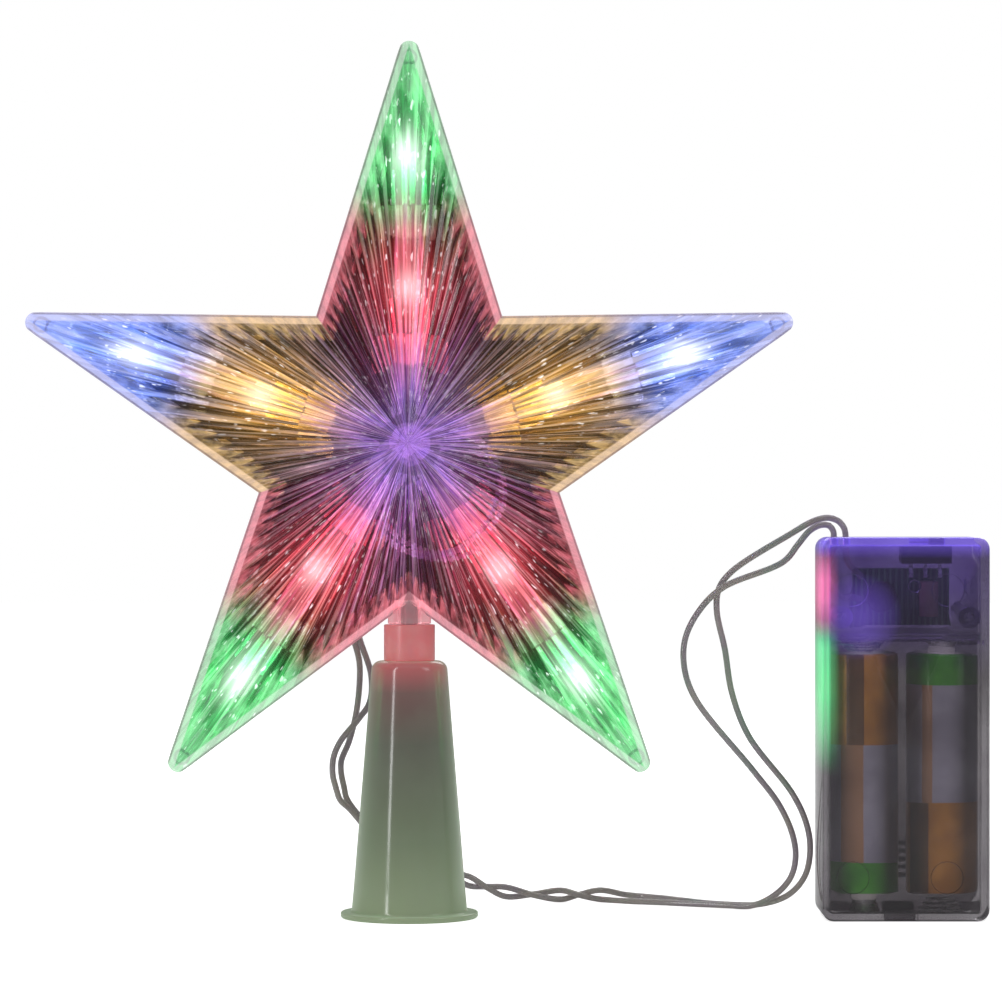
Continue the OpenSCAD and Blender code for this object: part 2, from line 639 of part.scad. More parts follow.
// A short conical spring, wide at z0 and narrow at z1
module cone_spring(x, z0, z1) {
    wire = 0.6;
    turns = 2;
    steps = 10;
    lift = (z1 - z0 - wire);
    tube([for (i = [0 : turns * steps])
        let (t = i / (turns * steps), r = 4.6 - 2.2 * t)
        [x + r * cos(360 * turns * t), cell_y + r * sin(360 * turns * t), z0 + wire / 2 + lift * t]], wire);
}

module contact_springs() color("silver") {
    cone_spring(box_x + cell_dx, floor_z + strip_t + 0.05, cell_z - 0.05);
    mirror_z = roof_z - strip_t - 0.05 + cell_z + cell_len + 0.05;
    translate([0, 0, mirror_z]) mirror([0, 0, 1])
        cone_spring(box_x - cell_dx, cell_z + cell_len + 0.05, roof_z - strip_t - 0.05);
}

star_front_shell();
star_back_shell();
mount_stem();
lamps_green();
lamps_blue();
lamps_red();
lamps_yellow();
lamp_holders();
lamp_leads();
centre_knot();
spare_lead_coil();
exit_leads();
clip_posts();
cord_drop_a();
cord_drop_b();
neck_bush();
cone_base();
cord_run_a();
cord_run_b();
battery_case();
circuit_cover();
cover_screws();
battery_door();
switch_slider();
switch_body();
switch_terminals();
circuit_board();
controller_chip();
board_components();
cord_tails();
battery_left();
battery_right();
bridge_contact();
negative_contact();
positive_contact();
contact_springs();
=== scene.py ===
import bpy
import bmesh
import math
import random
from math import cos, pi, radians, sin, sqrt, tau
from mathutils import Matrix, Vector


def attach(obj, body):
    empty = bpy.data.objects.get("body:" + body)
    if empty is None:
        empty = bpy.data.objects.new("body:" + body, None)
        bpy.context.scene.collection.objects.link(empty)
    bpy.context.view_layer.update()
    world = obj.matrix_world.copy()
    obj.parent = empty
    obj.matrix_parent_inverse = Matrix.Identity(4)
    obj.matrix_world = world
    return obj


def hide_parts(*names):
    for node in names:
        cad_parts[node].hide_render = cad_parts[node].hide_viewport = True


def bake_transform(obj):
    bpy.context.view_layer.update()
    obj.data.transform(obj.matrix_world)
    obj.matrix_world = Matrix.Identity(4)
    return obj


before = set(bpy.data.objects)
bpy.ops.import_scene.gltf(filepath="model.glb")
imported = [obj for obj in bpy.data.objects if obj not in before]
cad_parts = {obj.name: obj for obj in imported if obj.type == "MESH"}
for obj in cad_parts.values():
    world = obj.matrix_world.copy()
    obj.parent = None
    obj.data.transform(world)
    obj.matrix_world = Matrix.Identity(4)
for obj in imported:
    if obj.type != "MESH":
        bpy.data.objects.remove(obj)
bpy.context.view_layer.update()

# ---- camera, floor and light
# The studio: a level camera on a long lens, a pale matt floor, a bright band of sky at eye
# level that darkens overhead, and large soft lamps.  None of it belongs to the object.
MM = 0.001
scene = bpy.context.scene
scene.view_settings.view_transform = "Standard"

CAMERA_BACK = 820 * MM
FIELD_WIDTH = 207.9 * MM
SENSOR = 36
camera_data = bpy.data.cameras.new("camera")
camera_data.sensor_width = SENSOR
camera_data.lens = SENSOR * CAMERA_BACK / FIELD_WIDTH
camera = bpy.data.objects.new("camera", camera_data)
camera.location = (19 * MM, -CAMERA_BACK, 86.3 * MM)
camera.rotation_euler = (radians(90), 0, 0)
scene.collection.objects.link(camera)
scene.camera = camera


class Finish:
    """A material's nodes, added one at a time; sockets take a number, a colour or another node's output."""

    def __init__(self, name, **fixed):
        self.material = bpy.data.materials.new(name)
        self.material.use_nodes = True
        self.tree = self.material.node_tree
        self.shader = self.tree.nodes["Principled BSDF"]
        self.set(self.shader, fixed)

    def set(self, node, sockets):
        for key, value in sockets.items():
            socket = node.inputs[key if isinstance(key, int) else key.replace("_", " ")]
            if isinstance(value, bpy.types.NodeSocket):
                self.tree.links.new(value, socket)
            elif socket.type == "RGBA" and len(value) == 3:
                socket.default_value = (*value, 1)
            else:
                socket.default_value = value
        return node

    def add(self, kind, sockets=None, **settings):
        node = self.tree.nodes.new("ShaderNode" + kind)
        for key, value in settings.items():
            setattr(node, key, value)
        return self.set(node, sockets or {})

    def math(self, operation, a, b=0.0, c=0.0):
        return self.add("Math", {0: a, 1: b, 2: c}, operation=operation).outputs[0]

    def times(self, a, b):
        return self.math("MULTIPLY", a, b)

    def length(self, a, b=(0, 0, 0)):
        """Distance between two places."""
        return self.add("VectorMath", {0: a, 1: b}, operation="DISTANCE").outputs["Value"]

    def place(self):
        """The point's place on the object, in metres."""
        return self.add("TexCoord").outputs["Object"]

    def noise(self, scale, detail=3.0, rough=0.5, at=None):
        node = self.add("TexNoise", {"Scale": scale, "Detail": detail, "Roughness": rough})
        self.set(node, {"Vector": at if at is not None else self.place()})
        return node.outputs["Fac"]

    def spread(self, value, low, high, to_low=0.0, to_high=1.0):
        """value from low to high, stretched over to_low to to_high and held there."""
        return self.add("MapRange", {0: value, 1: low, 2: high, 3: to_low, 4: to_high}).outputs[0]

    def mix(self, factor, a, b, blend="MIX"):
        node = self.add("Mix", data_type="RGBA", blend_type=blend)
        self.set(node, {0: factor, 6: a, 7: b})
        return node.outputs[2]

    def bump(self, height, strength, distance):
        node = self.add("Bump", {"Height": height, "Strength": strength, "Distance": distance})
        self.set(self.shader, {"Normal": node.outputs["Normal"]})

    def put(self, **sockets):
        self.set(self.shader, sockets)
        return self


def fill_ramp(node, stops):
    """Gives a colour ramp its stops, from the one at 0 to the one at 1."""
    elements = node.color_ramp.elements
    for place, colour in stops[1:-1]:
        elements.new(place).color = (*colour, 1)
    elements[0].color = (*stops[0][1], 1)
    elements[-1].color = (*stops[-1][1], 1)


FLOOR_SIZE = 5.0
floor_mesh = bpy.data.meshes.new("floor")
half = FLOOR_SIZE / 2
floor_corners = [(-half, -half, 0), (half, -half, 0), (half, half, 0), (-half, half, 0)]
floor_mesh.from_pydata(floor_corners, [], [(0, 1, 2, 3)])
floor = bpy.data.objects.new("floor", floor_mesh)
scene.collection.objects.link(floor)
floor_paint = Finish("floor_paint", Roughness=0.7)
floor_tone = floor_paint.spread(floor_paint.noise(9, 2), 0.3, 0.7)
floor_colour = floor_paint.mix(floor_tone, (0.93, 0.93, 0.93), (0.96, 0.96, 0.96))
seen = floor_paint.add("LightPath").outputs["Is Camera Ray"]
floor_paint.put(Base_Color=floor_colour, Emission_Color=floor_colour,
                Emission_Strength=floor_paint.spread(seen, 0, 1, 0.02, 0.85))
floor_mesh.materials.append(floor_paint.material)

world = bpy.data.worlds.new("studio")
world.use_nodes = True
scene.world = world
sky = world.node_tree
sky_direction = sky.nodes.new("ShaderNodeTexCoord")
sky_split = sky.nodes.new("ShaderNodeSeparateXYZ")
sky_ramp = sky.nodes.new("ShaderNodeValToRGB")
sky.links.new(sky_direction.outputs["Generated"], sky_split.inputs[0])
sky.links.new(sky_split.outputs["Z"], sky_ramp.inputs[0])
fill_ramp(sky_ramp, [(place, (tone, tone, tone)) for place, tone in (
    (0.0, 0.22), (0.10, 0.22), (0.30, 0.09), (0.55, 0.10), (0.7, 0.38), (1.0, 0.4))])
backdrop = sky.nodes.new("ShaderNodeMix")
backdrop.data_type = "RGBA"
backdrop.inputs[7].default_value = (1, 1, 1, 1)
sky.links.new(sky.nodes.new("ShaderNodeLightPath").outputs["Is Camera Ray"], backdrop.inputs[0])
sky.links.new(sky_ramp.outputs[0], backdrop.inputs[6])
sky.links.new(backdrop.outputs[2], sky.nodes["Background"].inputs["Color"])
sky.nodes["Background"].inputs["Strength"].default_value = 1.0


def soft_lamp(name, place, aim, size, power):
    data = bpy.data.lights.new(name, "AREA")
    data.shape = "RECTANGLE"
    data.size, data.size_y = size
    data.energy = power
    lamp = bpy.data.objects.new(name, data)
    lamp.location = place
    lamp.rotation_euler = (Vector(aim) - Vector(place)).to_track_quat("-Z", "Y").to_euler()
    scene.collection.objects.link(lamp)


AIM = (0.02, 0, 0.08)
soft_lamp("key", (-0.62, -0.62, 0.42), AIM, (0.10, 0.75), 1.5)
soft_lamp("fill", (0.75, -0.45, 0.5), AIM, (0.3, 0.5), 0.9)
soft_lamp("top", (0.0, 0.1, 1.0), AIM, (0.9, 0.5), 1.6)
soft_lamp("rim", (0.1, 0.8, 0.5), AIM, (0.7, 0.25), 1.3)

# ---- cord
# Two single wires from the battery box to the star: stranded copper in clear vinyl, loosely
# twisted together where they lie on the surface.  Each is in two stretches that meet beside
# the cone, the upper one rising to the star.
WIRE = 1.3
CORE = 0.8
ROUTE_A = [(90.5, 0, 78.8), (90.3, 0, 80.4), (89.2, 0, 82), (87, 0, 82.8), (84, 0, 82.2), (79, 0, 79.4),
           (66.8, 0, 71.6), (64.2, 0.4, 68), (63.8, 0.6, 63.5), (65.5, 1, 55.5), (67, 2, 46.5),
           (70.5, 3, 37.5), (80, 5.5, 25), (83, 7, 18.5), (83.8, 8.4, 13), (82.8, 10, 7.5), (79.5, 12, 3.4),
           (74, 14.6, 1.2), (66.5, 18, 0.8), (53, 32, 0.8), (46, 34.5, 1.2), (40, 30, 2.6), (36, 31, 1.6),
           (32, 29.5, 0.7), (26, 27.5, 1.8), (20, 26.5, 3.6), (16, 25.5, 3.8), (12, 22, 4.4), (8, 19, 7),
           (3, 18, 10), (-2, 17.5, 11.5), (-6.4, 14.8, 13.6), (-9.9, 12.1, 18), (-12.8, 10.5, 21.6),
           (-14.8, 9.6, 23.6), (-15.6, 9.1, 26)]
DROP_A = [(-15.6, 9.1, 26), (-16.3, 8.8, 29), (-16.1, 8.9, 32.6), (-14.6, 9.3, 36), (-11, 10, 40.4),
          (-8.6, 10.8, 44), (-8.3, 10.8, 49.6), (-10.4, 7.4, 56.8), (-11.25, 4.6, 60.3)]
ROUTE_B = [(88, -0.6, 78.8), (87.9, -0.7, 80), (87, -0.9, 81.2), (85.2, -1.2, 81.3), (83, -1.4, 80.2),
           (80.6, -1.5, 77.4), (77.6, -1.5, 73.8), (65, -1.5, 68.4), (60.4, -1, 64), (57.3, 0, 58),
           (57, 0, 52), (59.2, 0, 45.5), (71.5, 3, 30.2), (77, 5, 23), (80, 7, 16.5), (80.8, 9, 11.5),
           (79.8, 10.8, 7), (76.5, 12.4, 3.2), (72, 13.4, 1), (66.5, 16, 0.8), (53, 22, 0.8), (40, 30, 0.7),
           (36, 29, 1.6), (32, 29.5, 2.6), (26, 29.5, 1.8), (20, 26.5, 1.6), (16, 23.5, 3.8), (12, 22, 6.4),
           (8, 21, 7), (3, 18, 8), (-2, 15.5, 11.5), (-5.6, 15.2, 15.4), (-9.1, 14, 18), (-12.2, 12.6, 21.6),
           (-13.6, 11.8, 24), (-14, 11.6, 26)]
DROP_B = [(-14, 11.6, 26), (-14.6, 11.3, 29), (-14.6, 11.3, 31.6), (-13, 11.6, 35.6), (-11.6, 11.6, 41),
          (-10.8, 10.8, 47), (-10.75, 9.4, 52.7), (-12.75, 4.6, 60.3)]


def smooth_line(points, step):
    """A curve through the points with a reading every step or so; its bends keep to the points."""
    spots = [Vector(p) for p in points]
    spots = [2 * spots[0] - spots[1]] + spots + [2 * spots[-1] - spots[-2]]
    line = []
    for a, b, c, d in zip(spots, spots[1:], spots[2:], spots[3:]):
        ta, tb, tc = ((q - p).length ** 0.5 for p, q in ((a, b), (b, c), (c, d)))
        go_in = ((b - a) / ta - (c - a) / (ta + tb) + (c - b) / tb) * tb
        go_out = ((c - b) / tb - (d - b) / (tb + tc) + (d - c) / tc) * tb
        count = max(1, round((c - b).length / step))
        for i in range(count):
            t = i / count
            line.append((2 * t**3 - 3 * t**2 + 1) * b + (t**3 - 2 * t**2 + t) * go_in
                        + (3 * t**2 - 2 * t**3) * c + (t**3 - t**2) * go_out)
    return line + [spots[-2]]


def add_tube(bm, line, radius, sides=12, material=0, closed=False, swell=None):
    """Sweeps a round section along the line into bm; swell gives a factor for each ring."""
    rings, side = [], None
    last = len(line) - 1
    for i, spot in enumerate(line):
        before = line[i - 1] if i or closed else line[i]
        after = line[(i + 1) % len(line)] if i < last or closed else line[i]
        ahead = (after - before).normalized()
        if side is None:
            side = ahead.cross(Vector((0.3, 1, 0.2))).normalized()
        side = (side - ahead * side.dot(ahead)).normalized()
        other = ahead.cross(side)
        r = radius * (swell(i / last) if swell else 1)
        rings.append([bm.verts.new(spot + r * (cos(a) * side + sin(a) * other))
                      for a in (tau * s / sides for s in range(sides))])
    pairs = list(zip(rings, rings[1:])) + ([(rings[-1], rings[0])] if closed else [])
    for one, two in pairs:
        for s in range(sides):
            face = bm.faces.new((one[s], one[(s + 1) % sides], two[(s + 1) % sides], two[s]))
            face.material_index = material
            face.smooth = True
    if not closed:
        bm.faces.new(rings[0][::-1]).material_index = material
        bm.faces.new(rings[-1]).material_index = material


def finish_piece(name, bm, materials, body, replaces=(), sharp_turn=35):
    """Turns a mesh drawn in millimetres into a piece in metres that rides on a body."""
    bmesh.ops.scale(bm, vec=(MM, MM, MM), verts=bm.verts)
    bmesh.ops.recalc_face_normals(bm, faces=bm.faces)
    mesh = bpy.data.meshes.new(name)
    bm.to_mesh(mesh)
    bm.free()
    mesh.set_sharp_from_angle(angle=radians(sharp_turn))
    for finish in materials:
        mesh.materials.append(finish.material)
    piece = bpy.data.objects.new(name, mesh)
    scene.collection.objects.link(piece)
    if body:
        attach(piece, body)
    if replaces:
        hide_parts(*replaces)
    return piece


vinyl = Finish("clear_vinyl", Roughness=0.10, IOR=1.45, Transmission_Weight=0.8, Coat_Weight=0.5)
vinyl_haze = vinyl.noise(900, 2)
vinyl.put(Base_Color=vinyl.mix(vinyl_haze, (0.74, 0.71, 0.68), (0.86, 0.84, 0.83)))
vinyl.bump(vinyl.noise(2600, 2), 0.08, 0.0002)

copper = Finish("tinned_strands", Roughness=0.42, Metallic=0.55)
strand_wave = copper.add("TexWave", {"Scale": 520, "Distortion": 1.5, "Detail": 2.0},
                         bands_direction="DIAGONAL").outputs["Fac"]
strand_colour = copper.mix(strand_wave, (0.34, 0.29, 0.27), (0.88, 0.82, 0.78))
# Violet and green patches on the strands are painted glints of the star's coloured light, and the emission
# makes the strands glow faintly: painted light.
painted_violet_glint = copper.spread(copper.noise(95, 2), 0.40, 0.60)
strand_colour = copper.mix(copper.times(painted_violet_glint, 0.35), strand_colour, (0.38, 0.24, 0.62))
painted_green_glint = copper.spread(copper.noise(70, 2), 0.54, 0.62)
strand_colour = copper.mix(copper.times(painted_green_glint, 0.35), strand_colour, (0.22, 0.60, 0.34))
copper.put(Base_Color=strand_colour, Emission_Color=strand_colour, Emission_Strength=0.10)
copper.bump(strand_wave, 0.5, 0.0001)


def cord_stretch(name, points):
    line = smooth_line(points, 0.8)
    bm = bmesh.new()
    add_tube(bm, line, WIRE / 2, 14, 0)
    add_tube(bm, line, CORE / 2, 10, 1)
    piece = finish_piece(name, bm, (vinyl, copper), None, (name.replace("wire", "cord"),))
    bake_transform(piece)
    return piece


cord_stretch("wire_run_a", ROUTE_A)
cord_stretch("wire_run_b", ROUTE_B)
cord_stretch("wire_drop_a", DROP_A)
cord_stretch("wire_drop_b", DROP_B)

# ---- socket cone
# A thin cone moulded in milky, half-clear plastic with a flat flange at its foot.  A tree's top
# shoot goes up inside it.  One gloss finish inside and out.
CONE_H, CONE_FOOT_R, CONE_TOP_R, CONE_WALL = 53.2, 11.95, 7.9, 1.2
FLANGE_R, FLANGE_T, CONE_SHOULDER, PLUG_R = 14.25, 1.2, 2.0, 4.0


def arc(cx, cy, r, start, stop, steps):
    return [(cx + r * cos(radians(start + (stop - start) * i / steps)),
             cy + r * sin(radians(start + (stop - start) * i / steps))) for i in range(steps + 1)]


def add_lathe(bm, outline, steps=96, material=0, centre=(0, 0, 0), closed=True, turn=None):
    """Turns an outline of (radius, height) about an upright axis; turn is a matrix to tilt the result."""
    rings = []
    for r, z in outline:
        if r < 1e-6:
            rings.append([bm.verts.new((0, 0, z))])
        else:
            rings.append([bm.verts.new((r * cos(a), r * sin(a), z))
                          for a in (tau * s / steps for s in range(steps))])
    loop = list(zip(rings, rings[1:])) + ([(rings[-1], rings[0])] if closed else [])
    for one, two in loop:
        for s in range(steps):
            t = (s + 1) % steps
            if len(one) == 1 and len(two) == 1:
                break
            corners = ([one[0], two[t], two[s]] if len(one) == 1 else
                       [one[s], one[t], two[0]] if len(two) == 1 else [one[s], one[t], two[t], two[s]])
            face = bm.faces.new(corners)
            face.material_index = material
            face.smooth = True
    made = [v for ring in rings for v in ring]
    if turn is not None:
        bmesh.ops.transform(bm, matrix=turn, verts=made)
    bmesh.ops.translate(bm, vec=centre, verts=made)
    return made


cone_outline = (
    [(FLANGE_R - 0.3, 0), (FLANGE_R, 0.3)] + arc(FLANGE_R - 0.3, FLANGE_T - 0.3, 0.3, 0, 90, 4)
    + arc(CONE_FOOT_R + 0.6, FLANGE_T + 0.6, 0.6, 270, 180, 5)
    + [(CONE_FOOT_R + (CONE_TOP_R - CONE_FOOT_R) * t, FLANGE_T + (CONE_H - CONE_SHOULDER - FLANGE_T) * t)
       for t in (0.1, 0.25, 0.5, 0.75, 0.95)]
    + arc(CONE_TOP_R - CONE_SHOULDER, CONE_H - CONE_SHOULDER, CONE_SHOULDER, 4, 90, 8)
    + [(PLUG_R + 0.2, CONE_H), (PLUG_R, CONE_H - 0.2), (PLUG_R, CONE_H - CONE_WALL)]
    + arc(CONE_TOP_R - CONE_WALL - 1, CONE_H - CONE_WALL - 1, 1, 90, 0, 5)
    + [(CONE_FOOT_R - CONE_WALL - 0.3 * t, FLANGE_T + 2.0 * t) for t in (1.0, 0.0)]
    + [(CONE_FOOT_R - CONE_WALL, 0.2), (CONE_FOOT_R - CONE_WALL + 0.2, 0)])
milky = Finish("milky_plastic", Roughness=0.16, IOR=1.5, Subsurface_Weight=0.4, Subsurface_Scale=0.004,
               Coat_Weight=0.6, Coat_Roughness=0.06, Sheen_Roughness=0.55,
               Sheen_Tint=(0.82, 1.0, 0.76))
# Darker at mid height, lighter and greener towards the foot, and red at the top, where the star's red lamps
# light it: painted light.  The emission makes the whole cone glow faintly, a painted glow.
milky_height = milky.add("SeparateXYZ", {0: milky.place()}).outputs["Z"]
milky_ramp = milky.add("ValToRGB", {0: milky.spread(milky_height, 0.0, CONE_H * MM)})
fill_ramp(milky_ramp, [(0.0, (0.34, 0.42, 0.26)), (0.30, (0.20, 0.25, 0.16)), (0.68, (0.12, 0.12, 0.095)),
                       (0.88, (0.20, 0.11, 0.105)), (1.0, (0.62, 0.14, 0.16))])
milky_cloud = milky.spread(milky.noise(60, 3), 0.35, 0.65)
milky_side = milky.add("LayerWeight", {"Blend": 0.35}).outputs["Facing"]
milky_cloud = milky.times(milky_cloud, 0.22)
milky_colour = milky.mix(milky_cloud, milky_ramp.outputs[0], (0.26, 0.31, 0.24))
milky.put(Base_Color=milky_colour, Subsurface_Radius=(0.9, 1.0, 0.85),
          Emission_Color=milky_colour, Emission_Strength=0.24,
          Sheen_Weight=milky.spread(milky_side, 0.05, 0.40, 0.3, 1.0),
          Roughness=milky.spread(milky.noise(140, 3), 0.3, 0.7, 0.13, 0.22))
milky.bump(milky.noise(260, 3), 0.05, 0.0003)
bm = bmesh.new()
add_lathe(bm, cone_outline)
finish_piece("socket_cone", bm, (milky,), "base", ("cone_base",), 30)

# ---- neck bush
# A frosted plastic bush whose plug turns in the hole at the cone's top.  It is bored to take
# the star's peg.
NECK_R, NECK_TOP, PEG_R = 5.3, 60.7, 1.5
RUN = 0.05
frosted = Finish("frosted_plastic", Roughness=0.3, IOR=1.48, Subsurface_Weight=0.35, Subsurface_Scale=0.004,
                 Transmission_Weight=0.35, Coat_Weight=0.3, Coat_Roughness=0.15)
# The bush's red is the light of the red lamps above it, and its emission makes it glow faintly: painted
# light.
frosted_mark = frosted.spread(frosted.noise(170, 3), 0.35, 0.65)
frosted_colour = frosted.mix(frosted_mark, (0.88, 0.30, 0.32), (0.95, 0.42, 0.42))
frosted.put(Base_Color=frosted_colour, Emission_Color=frosted_colour, Emission_Strength=0.12)
frosted.bump(frosted.noise(900, 2), 0.08, 0.0002)
plug_r = PLUG_R - RUN
plug_edge = CONE_H - CONE_WALL
neck_low = plug_edge - 7
bush_outline = (
    arc(NECK_R - 0.25, NECK_TOP - 0.25, 0.25, 90, 0, 4)
    + [(NECK_R, CONE_H + 0.2), (NECK_R - 0.15, CONE_H + RUN), (plug_r, CONE_H + RUN),
       (plug_r, plug_edge - 0.1), (plug_r + 0.35, plug_edge - 0.4), (plug_r + 0.35, plug_edge - 1.2),
       (plug_r, plug_edge - 1.7),
       (plug_r, neck_low + 0.3), (plug_r - 0.3, neck_low), (PEG_R + 0.3, neck_low),
       (PEG_R + RUN, neck_low + 0.3), (PEG_R + RUN, NECK_TOP - 0.3), (PEG_R + 0.35, NECK_TOP)])
bm = bmesh.new()
add_lathe(bm, bush_outline)
finish_piece("bush", bm, (frosted,), "neck", ("neck_bush",), 30)

# ---- mount stem
# The star's stem: a pointed head gripped between the two shells, and a ribbed peg below it that
# pushes into the neck bush.  Clear plastic, dark because it leads no light.
HEAD_R, FOOT_H = 1.85, 4.7
stem_paint = Finish("stem_plastic", Roughness=0.12, IOR=1.5, Coat_Weight=0.5)
stem_streak = stem_paint.noise(300, 2)
stem_paint.put(Base_Color=stem_paint.mix(stem_paint.spread(stem_streak, 0.35, 0.65),
                                         (0.035, 0.004, 0.02), (0.16, 0.02, 0.05)))
stem_paint.bump(stem_streak, 0.1, 0.0002)
shoulder = NECK_TOP + FOOT_H * 0.45
point = NECK_TOP + FOOT_H + 2.6
stem_outline = [(0, NECK_TOP - 10), (PEG_R - 0.35, NECK_TOP - 10), (PEG_R, NECK_TOP - 9.5)]
for k in (8, 6, 4, 2):
    z = NECK_TOP - k
    stem_outline += [(PEG_R, z - 0.05), (PEG_R - 0.12, z), (PEG_R - 0.12, z + 0.7), (PEG_R, z + 0.75)]
stem_outline += [(PEG_R, NECK_TOP + RUN), (HEAD_R, NECK_TOP + RUN), (HEAD_R, shoulder)]
stem_outline += [(HEAD_R * cos(radians(90 * t / 10)), shoulder + (point - shoulder) * t / 10)
                 for t in range(1, 10)] + [(0, point)]
bm = bmesh.new()
add_lathe(bm, stem_outline, 40, closed=False)
finish_piece("stem", bm, (stem_paint,), "star", ("mount_stem",), 30)

# ---- star shells
# Two clear polystyrene shells, moulded alike and joined at their rims.  Each face is cut with
# radial flutes that run out in points over a steep step and a flat rim band.  The lamps inside
# light the flutes in bands: violet in the middle, red or gold on each arm, green or blue tips.
# The lamps' light on the flutes and the shade between them are painted into the shells' material, as a glow
# and a streaked base colour.
TIP_R, NOTCH_R, TIP_ROUND = 88.5, 32.7, 2.15
DEPTH, RIM_Y, RIM_BAND, STEP_W, STEP_RISE, SHELL = 34, 3, 1.7, 2.5, 4, 1.4
STAR_Z = NECK_TOP + FOOT_H + NOTCH_R
ARM = 72
FLUTE = 3.0
FLUTE_DEEP = 1.2
SEAM = 0.03
tip_half = math.atan2(NOTCH_R * sin(radians(36)), TIP_R - NOTCH_R * cos(radians(36)))
edge_dist = TIP_R * sin(tip_half)
tip_centre = TIP_R - TIP_ROUND / sin(tip_half)
step_end = RIM_BAND + STEP_W
step_y = RIM_Y + STEP_RISE
face_slope = (DEPTH / 2 - step_y) / (edge_dist - step_end)


def folded(turn):
    """Degrees from the nearest arm's axis."""
    return abs((turn + ARM / 2) % ARM - ARM / 2)


def reach(turn, inset):
    """Distance from the centre to the outline, moved in by inset, with its tips rounded."""
    f = radians(folded(turn))
    straight = (edge_dist - inset) / cos(pi / 2 - tip_half - f)
    rounding = TIP_ROUND - inset
    across_tip = tip_centre * sin(f)
    if rounding <= across_tip:
        return straight
    return min(straight, tip_centre * cos(f) + sqrt(rounding**2 - across_tip**2))


def valley(turn):
    """0 on the ridge between two flutes, 1 in the bottom of one."""
    return 1 - abs((turn / FLUTE) % 1 * 2 - 1)


def face_height(turn, inset):
    """Height of the fluted face, cut off by the steep step."""
    r = reach(turn, inset)
    deep = min(FLUTE_DEEP, 0.022 * r) * valley(turn)
    step = RIM_Y + STEP_RISE * (inset - RIM_BAND) / STEP_W
    return min(step, step_y + face_slope * (inset - step_end) - deep)


turns = []
for arm in range(5):
    near = [f / 4 for f in range(0, 13)]
    far = [f * 0.75 for f in range(5, 48)]
    side_turns = near + far
    turns += [arm * ARM + f for f in side_turns] + [arm * ARM + ARM / 2]
    turns += [(arm + 1) * ARM - f for f in reversed(side_turns) if f > 0]
outer_insets = [1.7, 2.1, 2.5, 2.8, 3.1, 3.4, 3.6, 3.8, 4.0, 4.2, 4.5, 4.9, 5.5, 6.5, 8, 10, 12.5, 15.5,
                18.5, 21.5, 23.7, 25.2]
inner_shape = [(3.3, SEAM), (3.3, RIM_Y), (4.2, 4.5), (5.2, 6.0), (9, 7.74), (14, 10.03), (19, 12.3),
               (24, 14.6)]


def star_point(turn, r, y, side):
    a = radians(turn)
    return (r * sin(a), side * y, STAR_Z + r * cos(a))


def add_skin(bm, rings, cap_start=None, cap_end=None):
    """Joins closed rings of points into one skin, with a point at either end."""
    loops = [[bm.verts.new(p) for p in ring] for ring in rings]
    count = len(loops[0])
    for one, two in zip(loops, loops[1:]):
        for i in range(count):
            j = (i + 1) % count
            bm.faces.new((one[i], one[j], two[j], two[i])).smooth = True
    for ring, cap in ((loops[0], cap_start), (loops[-1], cap_end)):
        if cap is not None:
            middle = bm.verts.new(cap)
            for i in range(count):
                bm.faces.new((ring[i], ring[(i + 1) % count], middle)).smooth = True


def star_half(bm, side):
    rings = [[star_point(t, reach(t, 0), y, side) for t in turns] for y in (SEAM, RIM_Y - 0.3)]
    rings.append([star_point(t, reach(t, 0.25), RIM_Y, side) for t in turns])
    for inset in outer_insets:
        rings.append([star_point(t, reach(t, inset), face_height(t, inset), side) for t in turns])
    inner = [[star_point(t, reach(t, inset), y, side) for t in turns] for inset, y in inner_shape]
    apex, hollow = (0, side * DEPTH / 2, STAR_Z), (0, side * (DEPTH / 2 - SHELL), STAR_Z)
    outside = rings[::-1]
    add_skin(bm, outside + inner, cap_start=apex, cap_end=hollow)


VIOLET, WARM_WHITE = (0.24, 0.12, 0.80), (1.0, 0.9, 0.95)
RED, GOLD, GREEN, BLUE = (1.0, 0.035, 0.09), (1.0, 0.60, 0.04), (0.03, 0.80, 0.18), (0.14, 0.32, 1.0)
INNER_LAMP, OUTER_LAMP = 30.5, 57.0


def on_star(f):
    """Millimetres from the star's centre, the turn about it, and 1 on the two arms at the sides."""
    xyz = f.add("SeparateXYZ", {0: f.place()}).outputs
    up = f.math("SUBTRACT", xyz["Z"], STAR_Z * MM)
    away = f.length(f.add("CombineXYZ", {0: xyz["X"], 1: up}).outputs[0])
    turn = f.math("ARCTAN2", xyz["X"], up)
    side_arm = f.math("COMPARE", f.math("ABSOLUTE", turn), radians(ARM), radians(ARM / 2))
    return f.times(away, 1 / MM), turn, side_arm


